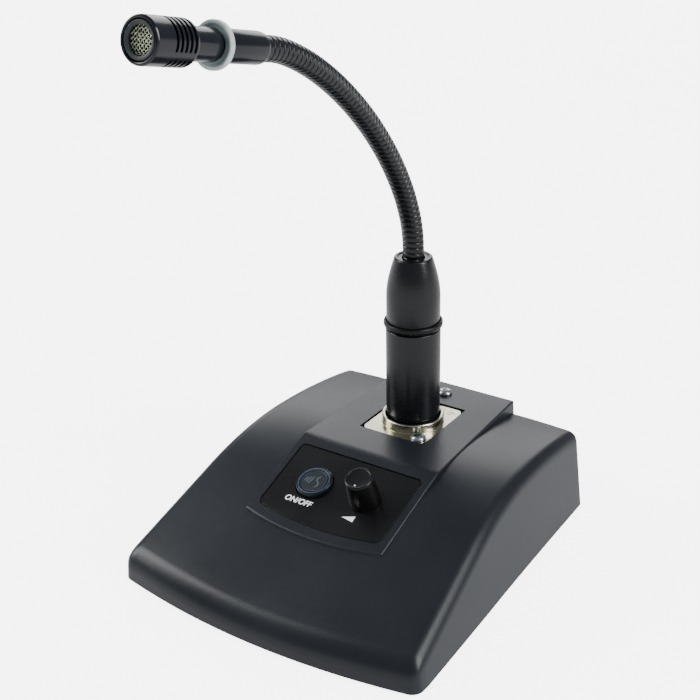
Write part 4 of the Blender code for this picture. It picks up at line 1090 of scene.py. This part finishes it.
FOCAL_PIXELS, IMAGE_WIDTH, SENSOR_WIDTH = 1333.82, 700, 36.0


def floor_material(glow):
    material = bpy.data.materials.new("pale_floor")
    material.use_nodes = True
    tree = material.node_tree
    shader = tree.nodes["Principled BSDF"]
    make = node_maker(tree)
    place = make("ShaderNodeTexCoord").outputs["Object"]
    cloud = make("ShaderNodeTexNoise", {"Vector": place, "Scale": 3.0, "Detail": 2.0})
    shades = make("ShaderNodeValToRGB", {"Fac": cloud.outputs["Fac"]})
    shades.color_ramp.elements[0].color = (0.86, 0.86, 0.865, 1.0)
    shades.color_ramp.elements[1].color = (0.89, 0.89, 0.89, 1.0)
    tree.links.new(shades.outputs["Color"], shader.inputs["Base Color"])
    shader.inputs["Roughness"].default_value = 0.85
    shader.inputs["Specular IOR Level"].default_value = 0.1
    shader.inputs["Emission Color"].default_value = (1.0, 1.0, 1.0, 1.0)
    shader.inputs["Emission Strength"].default_value = glow
    return material


def add_floor(name, level, glow):
    bm = bmesh.new()
    bmesh.ops.create_grid(bm, x_segments=8, y_segments=8, size=FLOOR_HALF)
    floor = add_piece(name, mesh_from(bm, name), floor_material(glow))
    floor.location.z = level * MM
    return floor


def build_floor():
    """A pale floor, and a dimmer one just under it that is what the object mirrors."""
    seen = add_floor("floor", FLOOR_LEVEL, FLOOR_GLOW)
    seen.visible_glossy = seen.visible_diffuse = False
    mirrored = add_floor("floor_underlay", UNDERLAY_LEVEL, UNDERLAY_GLOW)
    mirrored.visible_camera = False


def add_light(name, at, aim, size, watts):
    data = bpy.data.lights.new(name, "AREA")
    data.shape = "RECTANGLE"
    data.size, data.size_y = size
    data.energy = watts
    light = linked(name, data)
    light.location = at
    way = Vector(aim) - Vector(at)
    light.rotation_euler = way.to_track_quat("-Z", "Y").to_euler()


def build_light():
    world = bpy.data.worlds.new("studio")
    bpy.context.scene.world = world
    world.use_nodes = True
    background = world.node_tree.nodes["Background"]
    background.inputs["Color"].default_value = (*SKY_COLOUR, 1.0)
    background.inputs["Strength"].default_value = SKY_STRENGTH
    for row in SOFTBOXES:
        add_light(*row)


def build_camera():
    """The camera looks slightly down from the front right, level to within a degree."""
    azimuth, pitch, roll = map(math.radians, (CAMERA_AZIMUTH, CAMERA_PITCH, CAMERA_ROLL))
    back = Vector((math.sin(azimuth) * math.cos(pitch), -math.cos(azimuth) * math.cos(pitch),
                   math.sin(pitch)))
    right = Vector((math.cos(azimuth), math.sin(azimuth), 0.0))
    up = back.cross(right)
    right_now = right * math.cos(roll) + up * math.sin(roll)
    up_now = up * math.cos(roll) - right * math.sin(roll)
    data = bpy.data.cameras.new("camera")
    data.sensor_width = SENSOR_WIDTH
    data.lens = FOCAL_PIXELS / IMAGE_WIDTH * SENSOR_WIDTH
    data.clip_start = 0.01
    camera = linked("camera", data)
    turn = Matrix((right_now, up_now, back)).transposed().to_4x4()
    camera.matrix_world = Matrix.Translation(CAMERA_AT * MM) @ turn
    bpy.context.scene.camera = camera


build_floor()
build_light()
build_camera()
